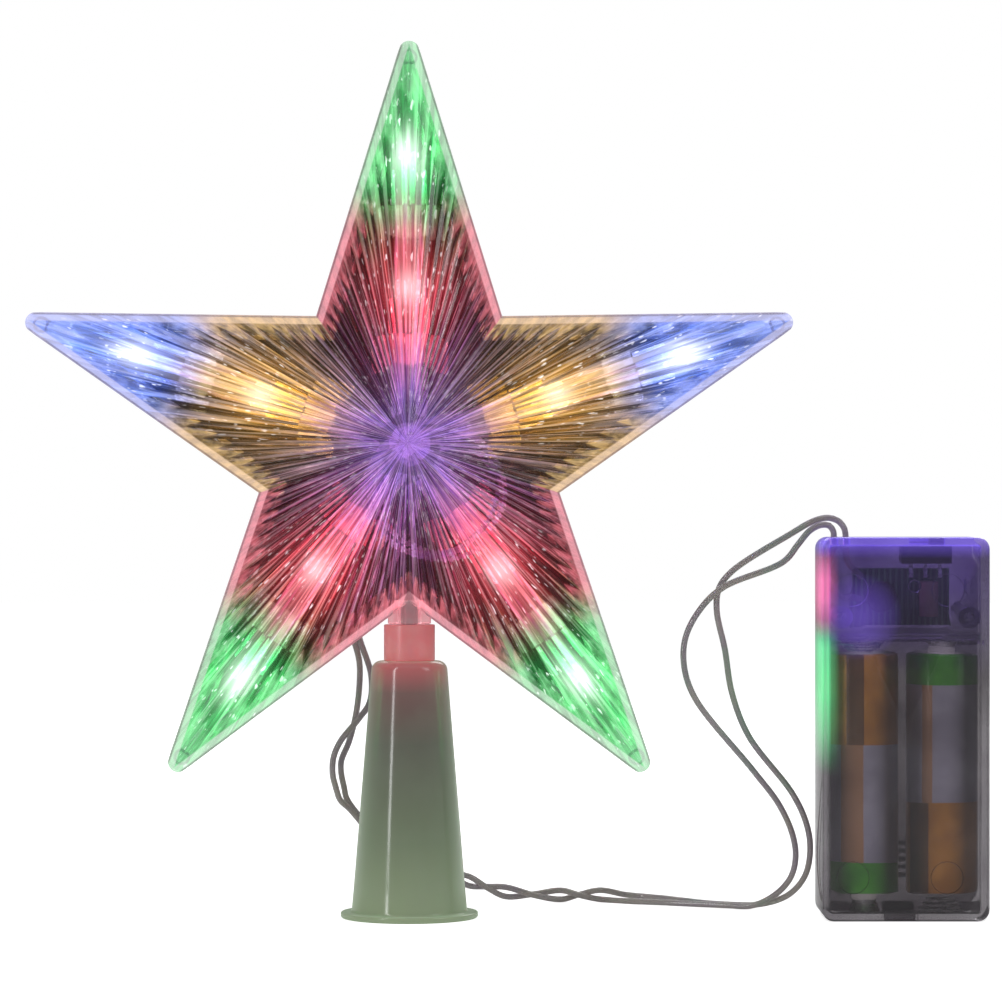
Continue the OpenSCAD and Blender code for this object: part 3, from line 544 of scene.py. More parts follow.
def lit_flutes(name, strength):
    """Clear plastic lit by the ten lamps; the light is worked out from the place on the star."""
    f = Finish(name, Roughness=0.03, IOR=1.22, Coat_Weight=0.22, Coat_Roughness=0.03)
    r, turn, side_arm = on_star(f)
    fold = f.math("PINGPONG", f.math("ABSOLUTE", turn), radians(ARM / 2))
    along = f.times(r, f.math("COSINE", fold))
    aside = f.times(r, f.math("SINE", fold))
    inset = f.math("SUBTRACT", edge_dist, f.math("ADD", f.times(along, sin(tip_half)),
                                                 f.times(aside, cos(tip_half))))

    def streaks(around, out, shift, detail=3.0):
        """Noise drawn out along the radius; around and out set how fine it is each way."""
        at = {0: f.times(turn, around), 1: f.times(r, out), 2: shift}
        return f.noise(1.0, detail, 0.6, f.add("CombineXYZ", at).outputs[0])

    def blob(middle, long_reach, wide_reach):
        """1 at a place on the arm's axis, falling off along and across the arm."""
        u = f.math("DIVIDE", f.math("SUBTRACT", along, middle), long_reach)
        v = f.math("DIVIDE", aside, wide_reach)
        square = f.math("ADD", f.times(u, u), f.times(v, v))
        return f.math("POWER", math.e, f.times(square, -1))

    # flute is 0 on a ridge and 1 in a valley; facet is a number of its own for each side of a ridge
    flute = f.math("PINGPONG", f.math("DIVIDE", turn, radians(FLUTE)), 0.5)
    flute = f.times(flute, 2)
    facet_number = f.math("FLOOR", f.math("DIVIDE", turn, radians(FLUTE / 2)))
    facet = f.add("TexWhiteNoise", {"W": facet_number}, noise_dimensions="1D").outputs["Value"]
    fine = f.spread(streaks(64, 0.03, 3.0, 2.0), 0.43, 0.57)
    broad = f.spread(streaks(19, 0.035, 9.0), 0.40, 0.60)
    broken = f.spread(streaks(26, 0.22, 5.0), 0.40, 0.60)
    hue = f.spread(streaks(24, 0.06, 14.0, 1.0), 0.35, 0.65)

    # pools of light around the lamps, the lamps' own bright spots, and the violet middle
    inner = blob(33.0, 14.0, 10.5)
    outer = f.math("MINIMUM", 1.0, f.times(blob(70.0, 20.0, 16.0), 1.5))
    core_in = blob(INNER_LAMP + 1.5, 3.4, 2.2)
    core_out = blob(OUTER_LAMP + 2.0, 5.2, 2.6)
    middle = f.math("POWER", math.e, f.times(f.times(r, r), -1 / 22.0**2))

    inner_colour = f.mix(side_arm, RED, GOLD)
    outer_colour = f.mix(side_arm, GREEN, BLUE)
    # The base colour in bright and dark streaks along the flutes, darker still where the broken streaks run:
    # painted light and shade standing in for what the flutes refract.
    grey = f.mix(f.times(fine, f.spread(facet, 0.1, 0.9, 0.3, 1.0)), (0.012, 0.008, 0.010),
                 (0.50, 0.45, 0.52))
    grey = f.mix(f.times(f.math("SUBTRACT", 1.0, broken), 0.6), grey, (0.03, 0.02, 0.025))
    violet = f.mix(hue, VIOLET, (0.66, 0.34, 0.72))
    glow = f.mix(f.times(middle, f.spread(broad, 0, 1, 0.55, 1.0)), (0, 0, 0), violet)
    glow = f.mix(f.times(inner, f.spread(broad, 0, 1, 0.45, 1.15)), glow, inner_colour)
    glow = f.mix(outer, glow, outer_colour)
    lit = f.math("MAXIMUM", f.math("MAXIMUM", f.times(middle, 0.7), inner), outer)

    # bright and dark streaks over the pools, white where a flute catches a lamp
    shine = f.times(f.spread(f.math("POWER", fine, 1.4), 0, 1, 0.03, 1.25), f.spread(flute, 0, 1, 0.4, 1.2))
    shine = f.times(shine, f.spread(facet, 0, 1, 0.25, 1.5))
    glow = f.mix(1.0, glow, f.add("CombineXYZ", {0: shine, 1: shine, 2: shine}).outputs[0], "MULTIPLY")
    hot = f.math("MINIMUM", 1.0, f.math("ADD", f.times(core_in, 0.9), core_out))
    white_streak = f.times(f.math("GREATER_THAN", fine, 0.80), f.spread(lit, 0, 1, 0.04, 0.26))
    glow = f.mix(white_streak, glow, WARM_WHITE)
    glint = f.times(f.spread(streaks(80, 0.35, 21.0, 1.0), 0.66, 0.70), f.spread(lit, 0.15, 0.8))
    glow = f.mix(f.times(glint, f.spread(along, 4, 9)), glow, (1.5, 1.5, 1.55))
    glow = f.mix(f.times(hot, f.spread(fine, 0, 1, 0.55, 1.0)), glow, (2.2, 2.2, 2.2))

    # painted glow of the holders' and posts' pale strip down each arm, and a paler painted glow at the tips
    strip = f.times(f.spread(aside, 2.9, 2.3), f.spread(along, 7, 12))
    strip = f.times(strip, f.spread(along, 60, 56))
    strip = f.times(strip, f.spread(fine, 0, 1, 0.28, 0.75))
    strip_colour = f.mix(f.spread(along, 10, 26), violet, f.mix(0.30, inner_colour, WARM_WHITE))
    strip_colour = f.mix(f.spread(along, 40, 54), strip_colour, f.mix(0.5, outer_colour, WARM_WHITE))
    glow = f.mix(strip, glow, strip_colour)
    pale_tip = f.times(f.spread(along, 62, 84), f.spread(broad, 0, 1, 0.2, 0.5))
    glow = f.mix(pale_tip, glow, f.mix(0.55, outer_colour, (1.0, 1.1, 1.1)))

    # painted glow on the flutes' pointed ends over the step, dimmed at the peg circles, and on the rim,
    # dying out to a dark edge
    scallop = f.math("SUBTRACT", 5.2, f.times(flute, 2.8))
    step_zone = f.spread(f.math("SUBTRACT", inset, scallop), 0.15, -0.15)
    step_glow = f.mix(f.spread(along, 44, 52), f.mix(0.25, inner_colour, WARM_WHITE),
                      f.mix(0.35, outer_colour, WARM_WHITE))
    step_glow_streaks = f.mix(f.spread(along, 62, 70), broken, fine)
    glow = f.mix(f.times(step_zone, f.spread(step_glow_streaks, 0, 1, 0.15, 0.7)), glow, step_glow)
    from_peg = f.length(f.add("CombineXYZ", {0: along, 1: aside}).outputs[0], (80.0, 0, 0))
    peg_ring = f.math("COMPARE", from_peg, 1.45, 0.28)
    glow = f.mix(f.times(peg_ring, 0.7), glow, (0.10, 0.09, 0.12))

    rim = f.spread(inset, RIM_BAND + 0.2, RIM_BAND - 0.1)
    edge = f.spread(inset, 0.5, 0.2)
    rim_colour = f.mix(f.spread(along, 46, 54), f.mix(0.45, inner_colour, WARM_WHITE),
                       f.mix(0.5, outer_colour, WARM_WHITE))
    glow = f.mix(f.times(rim, 0.5), glow, rim_colour)
    glow = f.mix(edge, glow, (0.05, 0.03, 0.04))

    # The base colour takes the lamps' colours where they light the star, a painted tint of their light, and
    # a flat pale grey on the rim band.
    lamp_colour = f.mix(f.spread(along, 7, 22), (0.42, 0.18, 0.75), inner_colour)
    lamp_colour = f.mix(f.spread(along, 44, 52), lamp_colour, outer_colour)
    tint = f.mix(f.times(lit, 0.6), grey, f.mix(0.15, lamp_colour, WARM_WHITE))
    tint = f.mix(rim, tint, (0.55, 0.50, 0.53))
    f.put(Base_Color=tint, Emission_Color=glow, Emission_Strength=strength, Transmission_Weight=0.80)
    return f


front_lit = lit_flutes("lit_front_shell", 0.52)
back_lit = lit_flutes("lit_back_shell", 0.24)
for name, side, finish in (("front_shell", -1, front_lit), ("back_shell", 1, back_lit)):
    bm = bmesh.new()
    star_half(bm, side)
    finish_piece(name, bm, (finish,), "star", ("star_" + name,), 9)


# ---- collar
# A short clear collar under the star, half on each shell, that closes around the stem's head.
# It is the same clear plastic as the shells and glows pink from the lamps above it.
COLLAR_R, COLLAR_TOP = 4.5, FOOT_H + 0.4
collar_clear = Finish("collar_clear", Roughness=0.04, IOR=1.3, Transmission_Weight=0.97, Coat_Weight=0.4)
collar_cloud = collar_clear.spread(collar_clear.noise(330, 3), 0.35, 0.65)
collar_colour = collar_clear.mix(collar_cloud, (0.95, 0.50, 0.55), (0.98, 0.72, 0.74))
collar_clear.put(Base_Color=collar_colour, Emission_Color=collar_colour, Emission_Strength=0.12)
collar_clear.bump(collar_clear.noise(800, 2), 0.1, 0.0002)
collar_section = [(HEAD_R + 0.1, 0.15), (COLLAR_R - 0.15, 0.15), (COLLAR_R, 0.3), (COLLAR_R, COLLAR_TOP),
                  (HEAD_R + 0.1, COLLAR_TOP)]
bm = bmesh.new()
for side in (-1, 1):
    loops = []
    for i in range(25):
        a = pi * i / 24
        loops.append([bm.verts.new((r * cos(a), side * max(SEAM, r * sin(a)), NECK_TOP + z))
                      for r, z in collar_section])
    for one, two in zip(loops, loops[1:]):
        for i in range(len(collar_section)):
            j = (i + 1) % len(collar_section)
            bm.faces.new((one[i], one[j], two[j], two[i])).smooth = True
    bm.faces.new(loops[0])
    bm.faces.new(loops[-1][::-1])
finish_piece("collar", bm, (collar_clear,), "star", (), 30)

# ---- lamps
# Ten 3 mm round-topped lamps, each a coloured resin body with a flange at its foot and two legs.
# They push into the clear holders and face out along the arms.
LAMP_R, LAMP_LEN, LAMP_FOOT, LEG_OUT = 1.5, 5.4, -1.6, 0.75


def on_arm(bm, verts, arm, out, lateral=0.0):
    """Moves points drawn along +Z at the origin to a place on an arm of the star."""
    turn = Matrix.Rotation(radians(arm * ARM), 3, "Y")
    bmesh.ops.translate(bm, vec=(lateral, 0, out), verts=verts)
    bmesh.ops.rotate(bm, cent=(0, 0, 0), matrix=turn, verts=verts)
    bmesh.ops.translate(bm, vec=(0, 0, STAR_Z), verts=verts)


lamp_outline = ([(0, 0), (LAMP_R + 0.2, 0), (LAMP_R + 0.2, 0.6), (LAMP_R, 0.8)]
                + arc(0, LAMP_LEN - LAMP_R, LAMP_R, 0, 75, 5) + [(0, LAMP_LEN)])
for name, colour, arms, out in (("green", GREEN, (0, 2, 3), OUTER_LAMP), ("blue", BLUE, (1, 4), OUTER_LAMP),
                                ("red", RED, (0, 2, 3), INNER_LAMP), ("yellow", GOLD, (1, 4), INNER_LAMP)):
    resin = Finish("resin_" + name, Roughness=0.12, IOR=1.5, Coat_Weight=0.6)
    speck = resin.spread(resin.noise(1400, 3), 0.3, 0.7)
    pale = tuple(0.55 + 0.45 * c for c in colour)
    resin_colour = resin.mix(speck, pale, (1.0, 1.0, 1.0))
    resin.put(Base_Color=resin.mix(0.5, colour, resin_colour), Emission_Color=resin_colour,
              Emission_Strength=resin.spread(speck, 0, 1, 2.2, 4.5))
    bm = bmesh.new()
    for arm in arms:
        on_arm(bm, add_lathe(bm, lamp_outline, 28, closed=False), arm, out + LAMP_FOOT)
        for leg in (-LEG_OUT, LEG_OUT):
            on_arm(bm, add_lathe(bm, [(0, -0.4), (0.25, -0.4), (0.25, 0.05), (0, 0.05)], 8, closed=False),
                   arm, out + LAMP_FOOT, leg)
    finish_piece("lamps_lit_" + name, bm, (resin,), "star", ("lamps_" + name,))

# ---- lamp holders and clip posts
# Clear moulded tubes that grip the lamps, and pairs of hollow posts that the leads run between.
# All are clear polystyrene with the light of the nearest lamp painted on as a glow and a tint.


def lamp_lit_clear(name, dim, bright):
    """Clear plastic with the light of the lamp nearest to it painted on as a glow and a tint."""
    f = Finish(name, Roughness=0.06, IOR=1.45, Transmission_Weight=0.75, Coat_Weight=0.3)
    r, _, side_arm = on_star(f)
    glow = f.mix(f.spread(r, 36, 41), f.mix(side_arm, (1.0, 0.42, 0.50), (1.0, 0.80, 0.35)),
                 f.mix(side_arm, (0.50, 1.0, 0.72), (0.60, 0.70, 1.0)))
    # The painted glow's strength varies in patches over the part.
    mottle = f.spread(f.noise(500, 3), 0.35, 0.65)
    f.put(Base_Color=f.mix(0.5, glow, (0.85, 0.83, 0.9)), Emission_Color=glow,
          Emission_Strength=f.spread(mottle, 0, 1, dim, bright))
    f.bump(f.noise(900, 2), 0.15, 0.0002)
    return f


def coat(node, finish):
    """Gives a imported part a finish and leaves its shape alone."""
    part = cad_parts[node]
    part.data.materials.clear()
    part.data.materials.append(finish.material)


coat("lamp_holders", lamp_lit_clear("holder_clear", 0.7, 1.5))
coat("clip_posts", lamp_lit_clear("post_clear", 0.4, 1.3))

# ---- leads inside the star
# Thin single wires in clear vinyl: a pair to each lamp, all knotted together behind the middle
# of the star, with the spare length coiled loosely in front and two ends that leave by the rim.
LEAD, LEG_END = 0.9, -1.9
COIL_X, COIL_Y, COIL_DROP = 6, -6.2, 10
random.seed(12)
# The leads' violet and their glow are painted light from the star's lamps, paler and deeper in patches.
lead_skin = Finish("lead_skin", Roughness=0.15, IOR=1.5, Transmission_Weight=0.45, Coat_Weight=0.4)
lead_glow_mottle = lead_skin.spread(lead_skin.noise(240, 3), 0.35, 0.65)
lead_colour = lead_skin.mix(lead_glow_mottle, (0.42, 0.30, 0.66), (0.88, 0.74, 0.92))
lead_skin.put(Base_Color=lead_colour, Emission_Color=lead_colour, Emission_Strength=0.9)
lead_skin.bump(lead_skin.noise(1500, 2), 0.1, 0.0001)


def tubes_piece(name, lines, radius, node, sides=10, finish=lead_skin,
                body="star"):
    bm = bmesh.new()
    for line in lines:
        add_tube(bm, line, radius, sides)
    return finish_piece(name, bm, (finish,), body, (node,))


def arm_point(arm, out, lateral, y):
    a = radians(arm * ARM)
    return Vector((out * sin(a) + lateral * cos(a), y,
                   STAR_Z + out * cos(a) - lateral * sin(a)))


lead_lines = []
for arm in range(5):
    for lateral in (-LEG_OUT, LEG_OUT):
        sway = random.uniform(-0.15, 0.15)
        inner_run = ((7, lateral, 0.8), (12, lateral * 1.1, 0.2), (20, lateral * 0.9 + sway, 0),
                     (INNER_LAMP + LEG_END, lateral, 0))
        outer_run = ((7, lateral, 3.2), (20, lateral + sway, 3.6), (INNER_LAMP + 5, lateral, 3.6),
                     (INNER_LAMP + 11, lateral, 1.3), (INNER_LAMP + 15, lateral, 0),
                     (OUTER_LAMP + LEG_END, lateral, 0))
        for run in (inner_run, outer_run):
            lead_lines.append(smooth_line([arm_point(arm, *place) for place in run], 0.9))
tubes_piece("lead_pairs", lead_lines, LEAD / 2, "lamp_leads")

knot_lines = []
for i in range(11):
    tilt, start, wide = random.uniform(-0.5, 0.5), random.uniform(0, tau), random.uniform(2.4, 4.9)
    squash, lift = random.uniform(0.5, 1.0), random.uniform(-0.6, 1.6)
    loop = []
    for step in range(10):
        a = start + tau * step / 10 * 0.93
        loop.append((wide * cos(a), 1.4 + lift + tilt * sin(a) * 1.6,
                     STAR_Z + wide * squash * sin(a)))
    knot_lines.append(smooth_line(loop, 0.7))
tubes_piece("wire_knot", knot_lines, LEAD / 2 + 0.05, "centre_knot", 8)

coil_lines = []
coil_turns = ((12.1, -0.35, 20, 338), (13.2, 0.3, -35, 330), (14.0, -0.1, 60, 250))
for i, (wide, dy, start, sweep) in enumerate(coil_turns):
    loop = []
    for step in range(17):
        a = radians(start + sweep * step / 16)
        w = wide + 0.35 * sin(3 * a + i * 2)
        loop.append((COIL_X + w * cos(a), COIL_Y + dy + 0.25 * sin(2 * a + i),
                     STAR_Z - COIL_DROP + w * sin(a)))
    coil_lines.append(smooth_line(loop, 0.9))
tubes_piece("spare_loops", coil_lines, LEAD / 2 + 0.05, "spare_lead_coil")

exit_lines = []
for start, mid, end in (((-1.6, 4.6, STAR_Z - 8.4), (-1.8, 4.8, STAR_Z - 14), DROP_A[-1]),
                        ((-3.4, 4.6, STAR_Z - 8.4), (-3.8, 4.8, STAR_Z - 14.4), DROP_B[-1])):
    side = -1 if end is DROP_B[-1] else 0
    exit_lines.append(smooth_line([start, mid, (-5.4 + 2.6 * side, 4.4, STAR_Z - 24),
                                   (-9.4 + 2 * side, 3.0, STAR_Z - 32), end], 0.8))
tubes_piece("exit_pair", exit_lines, WIRE / 2, "exit_leads", 12)

# ---- battery case
# A box of smoky, half-clear polystyrene, open at the back, with a round mark for off and a bar
# for on.  Moulding leaves four pin circles on its face.  The star's light on it is painted: a
# glow on its near side, along its top, in a spot on its face and faintly all over, and a violet
# upper part.
BOX_L, BOX_R, BOX_H, BOX_Y, BOX_WALL, BOX_ROUND = 84.9, 119.3, 78.8, 9.5, 1.6, 2.4
BOX_X = (BOX_L + BOX_R) / 2
DOOR_TOP, DIVIDER = 57.6, 1.4
INNER_L, INNER_R, INNER_FRONT = BOX_L + BOX_WALL, BOX_R - BOX_WALL, -BOX_Y + BOX_WALL
FIT = 0.1
SWITCH_X, SLOT_HALF, SLOT_Y, MARK_Z = 107, 3.7, 1.15, 68.8
LATCH_HALF, LATCH_GAP = 3.3, 0.4
SCREW_OUT, BOSS_R, BOSS_HOLE_R, BOSS_LEN = 13, 2.3, 1, 14
PIN_CIRCLE_R = 3.3


def rounded_loop(x0, x1, z0, z1, round_by, inset, y, steps=6):
    """A rectangle with round corners, moved in by inset, as a ring of points at depth y."""
    r = max(0.05, round_by - inset)
    corners = ((x1 - inset - r, z1 - inset - r, 0), (x0 + inset + r, z1 - inset - r, 90),
               (x0 + inset + r, z0 + inset + r, 180), (x1 - inset - r, z0 + inset + r, 270))
    return [(px, y, pz) for cx, cz, start in corners for px, pz in arc(cx, cz, r, start, start + 90, steps)]


def add_block(bm, x0, x1, y0, y1, z0, z1, edge=0.15, corner=0.3, steps=3):
    """A moulded block with softened edges."""
    rings = [rounded_loop(x0, x1, z0, z1, corner, edge, y0, steps),
             rounded_loop(x0, x1, z0, z1, corner, 0, y0 + edge, steps),
             rounded_loop(x0, x1, z0, z1, corner, 0, y1 - edge, steps),
             rounded_loop(x0, x1, z0, z1, corner, edge, y1, steps)]
    middle = ((x0 + x1) / 2, (z0 + z1) / 2)
    add_skin(bm, rings, (middle[0], y0, middle[1]), (middle[0], y1, middle[1]))


def add_ring(bm, x, y, z, wide, thick, steps=40):
    """A thin raised ring on a face that looks along Y."""
    line = [Vector((x + wide * cos(a), y, z + wide * sin(a)))
            for a in (tau * s / steps for s in range(steps))]
    add_tube(bm, line, thick, 6, closed=True)


smoky = Finish("smoky_plastic", Roughness=0.08, IOR=1.4, Transmission_Weight=0.96, Coat_Weight=0.25,
               Coat_Roughness=0.12)
smoky_xyz = smoky.add("SeparateXYZ", {0: smoky.place()}).outputs


def height_band(start, full, fade, end):
    """1 between two heights of the box, fading out on either side."""
    return smoky.times(smoky.spread(smoky_xyz["Z"], start, full), smoky.spread(smoky_xyz["Z"], end, fade))


smoky_cloud = smoky.spread(smoky.noise(90, 4), 0.35, 0.65)
smoky_low = smoky.mix(smoky_cloud, (0.25, 0.23, 0.25), (0.36, 0.34, 0.36))
# The upper part of the box is painted violet, the star's blue light falling on it.
smoky_high_violet_light = smoky.mix(smoky_cloud, (0.28, 0.22, 0.46), (0.42, 0.36, 0.62))
smoky_colour = smoky.mix(smoky.spread(smoky_xyz["Z"], 0.050, 0.068), smoky_low, smoky_high_violet_light)
# Painted light from the star: red and green glows on the near wall, blue along the top, a violet spot on the
# face, and a faint glow over the whole box that turns violet towards the top.
near_wall = smoky.spread(smoky_xyz["X"], 0.0885, 0.0852)
high_red = height_band(0.058, 0.066, 0.070, 0.077)
mid_green = height_band(0.030, 0.046, 0.056, 0.062)
top_blue = smoky.spread(smoky_xyz["Z"], 0.0745, 0.0785)
wall_glow = smoky.mix(high_red, smoky.mix(mid_green, (0, 0, 0), (0.12, 0.85, 0.30)), (0.85, 0.16, 0.30))
spot = smoky.spread(smoky.length(smoky.place(), (0.0925, -0.0095, 0.0625)), 0.009, 0.001)
smoky_glow = smoky.mix(near_wall, (0, 0, 0), wall_glow)
smoky_glow = smoky.mix(smoky.times(top_blue, 0.75), smoky_glow, (0.20, 0.12, 0.85))
smoky_glow = smoky.mix(smoky.times(spot, 0.6), smoky_glow, (0.22, 0.12, 0.80))
smoky_faint_glow = smoky.mix(smoky.spread(smoky_xyz["Z"], 0.045, 0.070), (0.24, 0.22, 0.25), (0.24, 0.18, 0.44))
smoky_glow = smoky.mix(0.05, smoky_glow, smoky_faint_glow)
smoky.put(Base_Color=smoky_colour, Emission_Color=smoky_glow, Emission_Strength=0.42,
          Roughness=smoky.spread(smoky.noise(300, 3), 0.3, 0.7, 0.05, 0.12))
smoky.bump(smoky.noise(700, 3), 0.06, 0.0002)


def cut_away(body, tool):
    """The body with the tool's shape taken out of it; both are closed meshes and are used up."""
    blanks = []
    for bm in (body, tool):
        bmesh.ops.recalc_face_normals(bm, faces=bm.faces)
        mesh = bpy.data.meshes.new("blank")
        bm.to_mesh(mesh)
        bm.free()
        blanks.append(bpy.data.objects.new("blank", mesh))
        scene.collection.objects.link(blanks[-1])
    cut = blanks[0].modifiers.new("cut", "BOOLEAN")
    cut.object = blanks[1]
    cut.operation = "DIFFERENCE"
    cut.solver = "EXACT"
    result = bmesh.new()
    result.from_object(blanks[0], bpy.context.evaluated_depsgraph_get())
    for blank in blanks:
        bpy.data.objects.remove(blank)
    return result


bm = bmesh.new()
shell_rings = [rounded_loop(BOX_L, BOX_R, 0, BOX_H, BOX_ROUND, inset, y) for inset, y in (
    (0.5, -BOX_Y), (0.15, -BOX_Y + 0.15), (0, -BOX_Y + 0.5), (0, BOX_Y - 0.2), (0.2, BOX_Y),
    (BOX_WALL, BOX_Y), (BOX_WALL, INNER_FRONT + 0.3), (BOX_WALL + 0.3, INNER_FRONT))]
add_skin(bm, shell_rings, (BOX_X, -BOX_Y, BOX_H / 2), (BOX_X, INNER_FRONT, BOX_H / 2))
openings = bmesh.new()
below_top, above_top = BOX_H - BOX_WALL - 1, BOX_H + 1
for x, wide, y0, y1, z0, z1 in ((SWITCH_X, SLOT_HALF, -SLOT_Y, SLOT_Y, below_top, above_top),
                                (BOX_X, LATCH_HALF + LATCH_GAP, 6.4, BOX_Y + 0.5, -0.5, 1.9)):
    corners = bmesh.ops.create_cube(openings, size=1)["verts"]
    bmesh.ops.scale(openings, vec=(2 * wide, y1 - y0, z1 - z0), verts=corners)
    bmesh.ops.translate(openings, vec=(x, (y0 + y1) / 2, (z0 + z1) / 2), verts=corners)
hole_r = WIRE / 2 + 0.12
for x, y, _ in (ROUTE_A[0], ROUTE_B[0]):
    add_lathe(openings, [(0, below_top), (hole_r, below_top), (hole_r, above_top), (0, above_top)], 24,
              centre=(x, y, 0), closed=False)
bm = cut_away(bm, openings)
add_block(bm, INNER_L + FIT, INNER_R - FIT, INNER_FRONT + FIT, BOX_Y - BOX_WALL - 0.05, DOOR_TOP,
          DOOR_TOP + DIVIDER)
for x in (BOX_X - SCREW_OUT, BOX_X + SCREW_OUT):
    boss = add_lathe(bm, [(BOSS_HOLE_R, 0), (BOSS_R - 0.15, 0), (BOSS_R, 0.15), (BOSS_R, BOSS_LEN),
                          (BOSS_HOLE_R, BOSS_LEN)], 28)
    bmesh.ops.rotate(bm, cent=(0, 0, 0), matrix=Matrix.Rotation(radians(-90), 3, "X"), verts=boss)
    bmesh.ops.translate(bm, vec=(x, INNER_FRONT + 0.05, DOOR_TOP + DIVIDER + 3.4), verts=boss)
for x, z in ((91.0, 68.0), (110.7, 68.0), (91.2, 9.0), (110.5, 9.0)):
    add_ring(bm, x, -BOX_Y, z, PIN_CIRCLE_R, 0.08)
add_ring(bm, SWITCH_X - 3.2, -BOX_Y - 0.02, MARK_Z, 1.25, 0.17)
add_block(bm, SWITCH_X + 6.9, SWITCH_X + 7.5, -BOX_Y - 0.18, -BOX_Y + 0.1, MARK_Z - 1.5, MARK_Z + 1.5,
          0.05, 0.1)
for x in (86.6, 113.4):
    add_block(bm, x, x + 4.2, INNER_FRONT + FIT, INNER_FRONT + 2.9, 2.3, 4.1, 0.1, 0.2)
finish_piece("case_shell", bm, (smoky,), "base", ("battery_case",), 30)

# ---- circuit cover, its screws and the battery door
# The back of the box in two plates of the same smoky plastic: a cover held by two cross-head
# screws over the circuit, and a battery door with finger ribs, a springy latch and a hinge bead.
bm = bmesh.new()
plate_in, plate_out = BOX_Y - BOX_WALL + 0.05, BOX_Y
add_block(bm, INNER_L + FIT, INNER_R - FIT, plate_in, plate_out - 0.02, DOOR_TOP + 0.3,
          BOX_H - BOX_WALL - 0.3, 0.2, 0.9, 5)
finish_piece("cover_plate", bm, (smoky,), "base", ("circuit_cover",), 30)

bm = bmesh.new()
bead_y, bead_z = BOX_Y - BOX_WALL / 2, DOOR_TOP - BOX_WALL / 2
door_l, door_r = INNER_L + 2 * FIT, INNER_R - 2 * FIT
add_block(bm, door_l, door_r, plate_in, plate_out, BOX_WALL + 0.3, bead_z, 0.2, 0.9, 5)
add_block(bm, BOX_X - LATCH_HALF, BOX_X + LATCH_HALF, plate_in, plate_out, 0.2, 3.9, 0.2, 0.5, 4)
for i in range(5):
    add_block(bm, BOX_X - 5, BOX_X + 5, plate_out - 0.35, plate_out, 8.8 + 1.6 * i, 9.6 + 1.6 * i, 0.1, 0.3)
for x0, x1, r in ((door_l, door_r, BOX_WALL / 2 - 0.05), (BOX_L + 0.7, BOX_R - 0.7, 0.5)):
    line = [Vector((x0 + (x1 - x0) * i / 12, bead_y, bead_z)) for i in range(13)]
    add_tube(bm, line, r, 20)
finish_piece("door_plate", bm, (smoky,), "door", ("battery_door",), 30)

plated = Finish("plated_steel", Metallic=1.0, Roughness=0.25)
plated_wear = plated.spread(plated.noise(700, 4), 0.35, 0.65)
plated.put(Base_Color=plated.mix(plated_wear, (0.42, 0.42, 0.44), (0.78, 0.78, 0.80)),
           Roughness=plated.spread(plated_wear, 0, 1, 0.35, 0.2))
plated.bump(plated.noise(1800, 2), 0.15, 0.0001)
coat("cover_screws", plated)

# ---- cells and contacts
# Two AA cells in shrunk film wraps, copper, pale grey and green in bands, one each way up.  They
# sit between a long plate that joins them at the foot and two short plates and springs on top.
CELL_R, CELL_LOW, CELL_LEN, CELL_Y, CELL_OUT = 7.1, 5.6, 49.2, -0.7, 7.9
SPRING_R, SPRING_TAPER, SPRING_TURNS = 4.6, 2.2, 3


def cell_wrap(name, x, nub_up):
    """Film in bands measured from the nub's end, with plain stripes along the pale band."""
    f = Finish(name, Roughness=0.28, Coat_Weight=0.8, Coat_Roughness=0.1)
    xyz = f.add("SeparateXYZ", {0: f.place()}).outputs
    low, high = CELL_LOW * MM, (CELL_LOW + CELL_LEN) * MM
    from_nub = f.spread(xyz["Z"], high if nub_up else low, low if nub_up else high)
    across = f.spread(xyz["X"], (x - CELL_R) * MM, (x + CELL_R) * MM)
    mottle = f.spread(f.noise(260, 3), 0.3, 0.7)
    # Painted highlight: the film glows brightest across the middle of the cell's width and fades towards its
    # sides.
    painted_front_highlight = f.math("ABSOLUTE", f.math("SINE", f.times(across, 3.3)))
    copper_film = f.mix(mottle, (0.55, 0.22, 0.03), (0.80, 0.36, 0.05))
    pale_film = f.mix(mottle, (0.46, 0.44, 0.56), (0.58, 0.56, 0.68))
    green_film = f.mix(mottle, (0.05, 0.36, 0.02), (0.12, 0.60, 0.04))
    stripe = f.math("COMPARE", across, 0.26 if nub_up else 0.30, 0.07 if nub_up else 0.15)
    dark = f.math("COMPARE", across, 0.16 if nub_up else 0.34, 0.12)
    pale_film = f.mix(f.times(stripe, 0.8), pale_film, (0.60, 0.26, 0.05))
    copper_film = f.mix(f.times(dark, 0.75), copper_film, (0.05, 0.035, 0.035))
    bands = f.mix(f.math("GREATER_THAN", from_nub, 0.62), pale_film, copper_film)
    bands = f.mix(f.math("LESS_THAN", from_nub, 0.13), bands, green_film)
    end_face = f.math("GREATER_THAN", f.math("ABSOLUTE", f.math("SUBTRACT", from_nub, 0.5)), 0.4985)
    bands = f.mix(end_face, bands, (0.62, 0.60, 0.58))
    f.put(Base_Color=bands, Metallic=f.spread(from_nub, 0.60, 0.64, 0.1, 0.5),
          Emission_Color=bands, Emission_Strength=f.spread(painted_front_highlight, 0.45, 0.99, 0.02, 0.50))
    f.bump(f.noise(400, 3), 0.05, 0.0002)
    return f


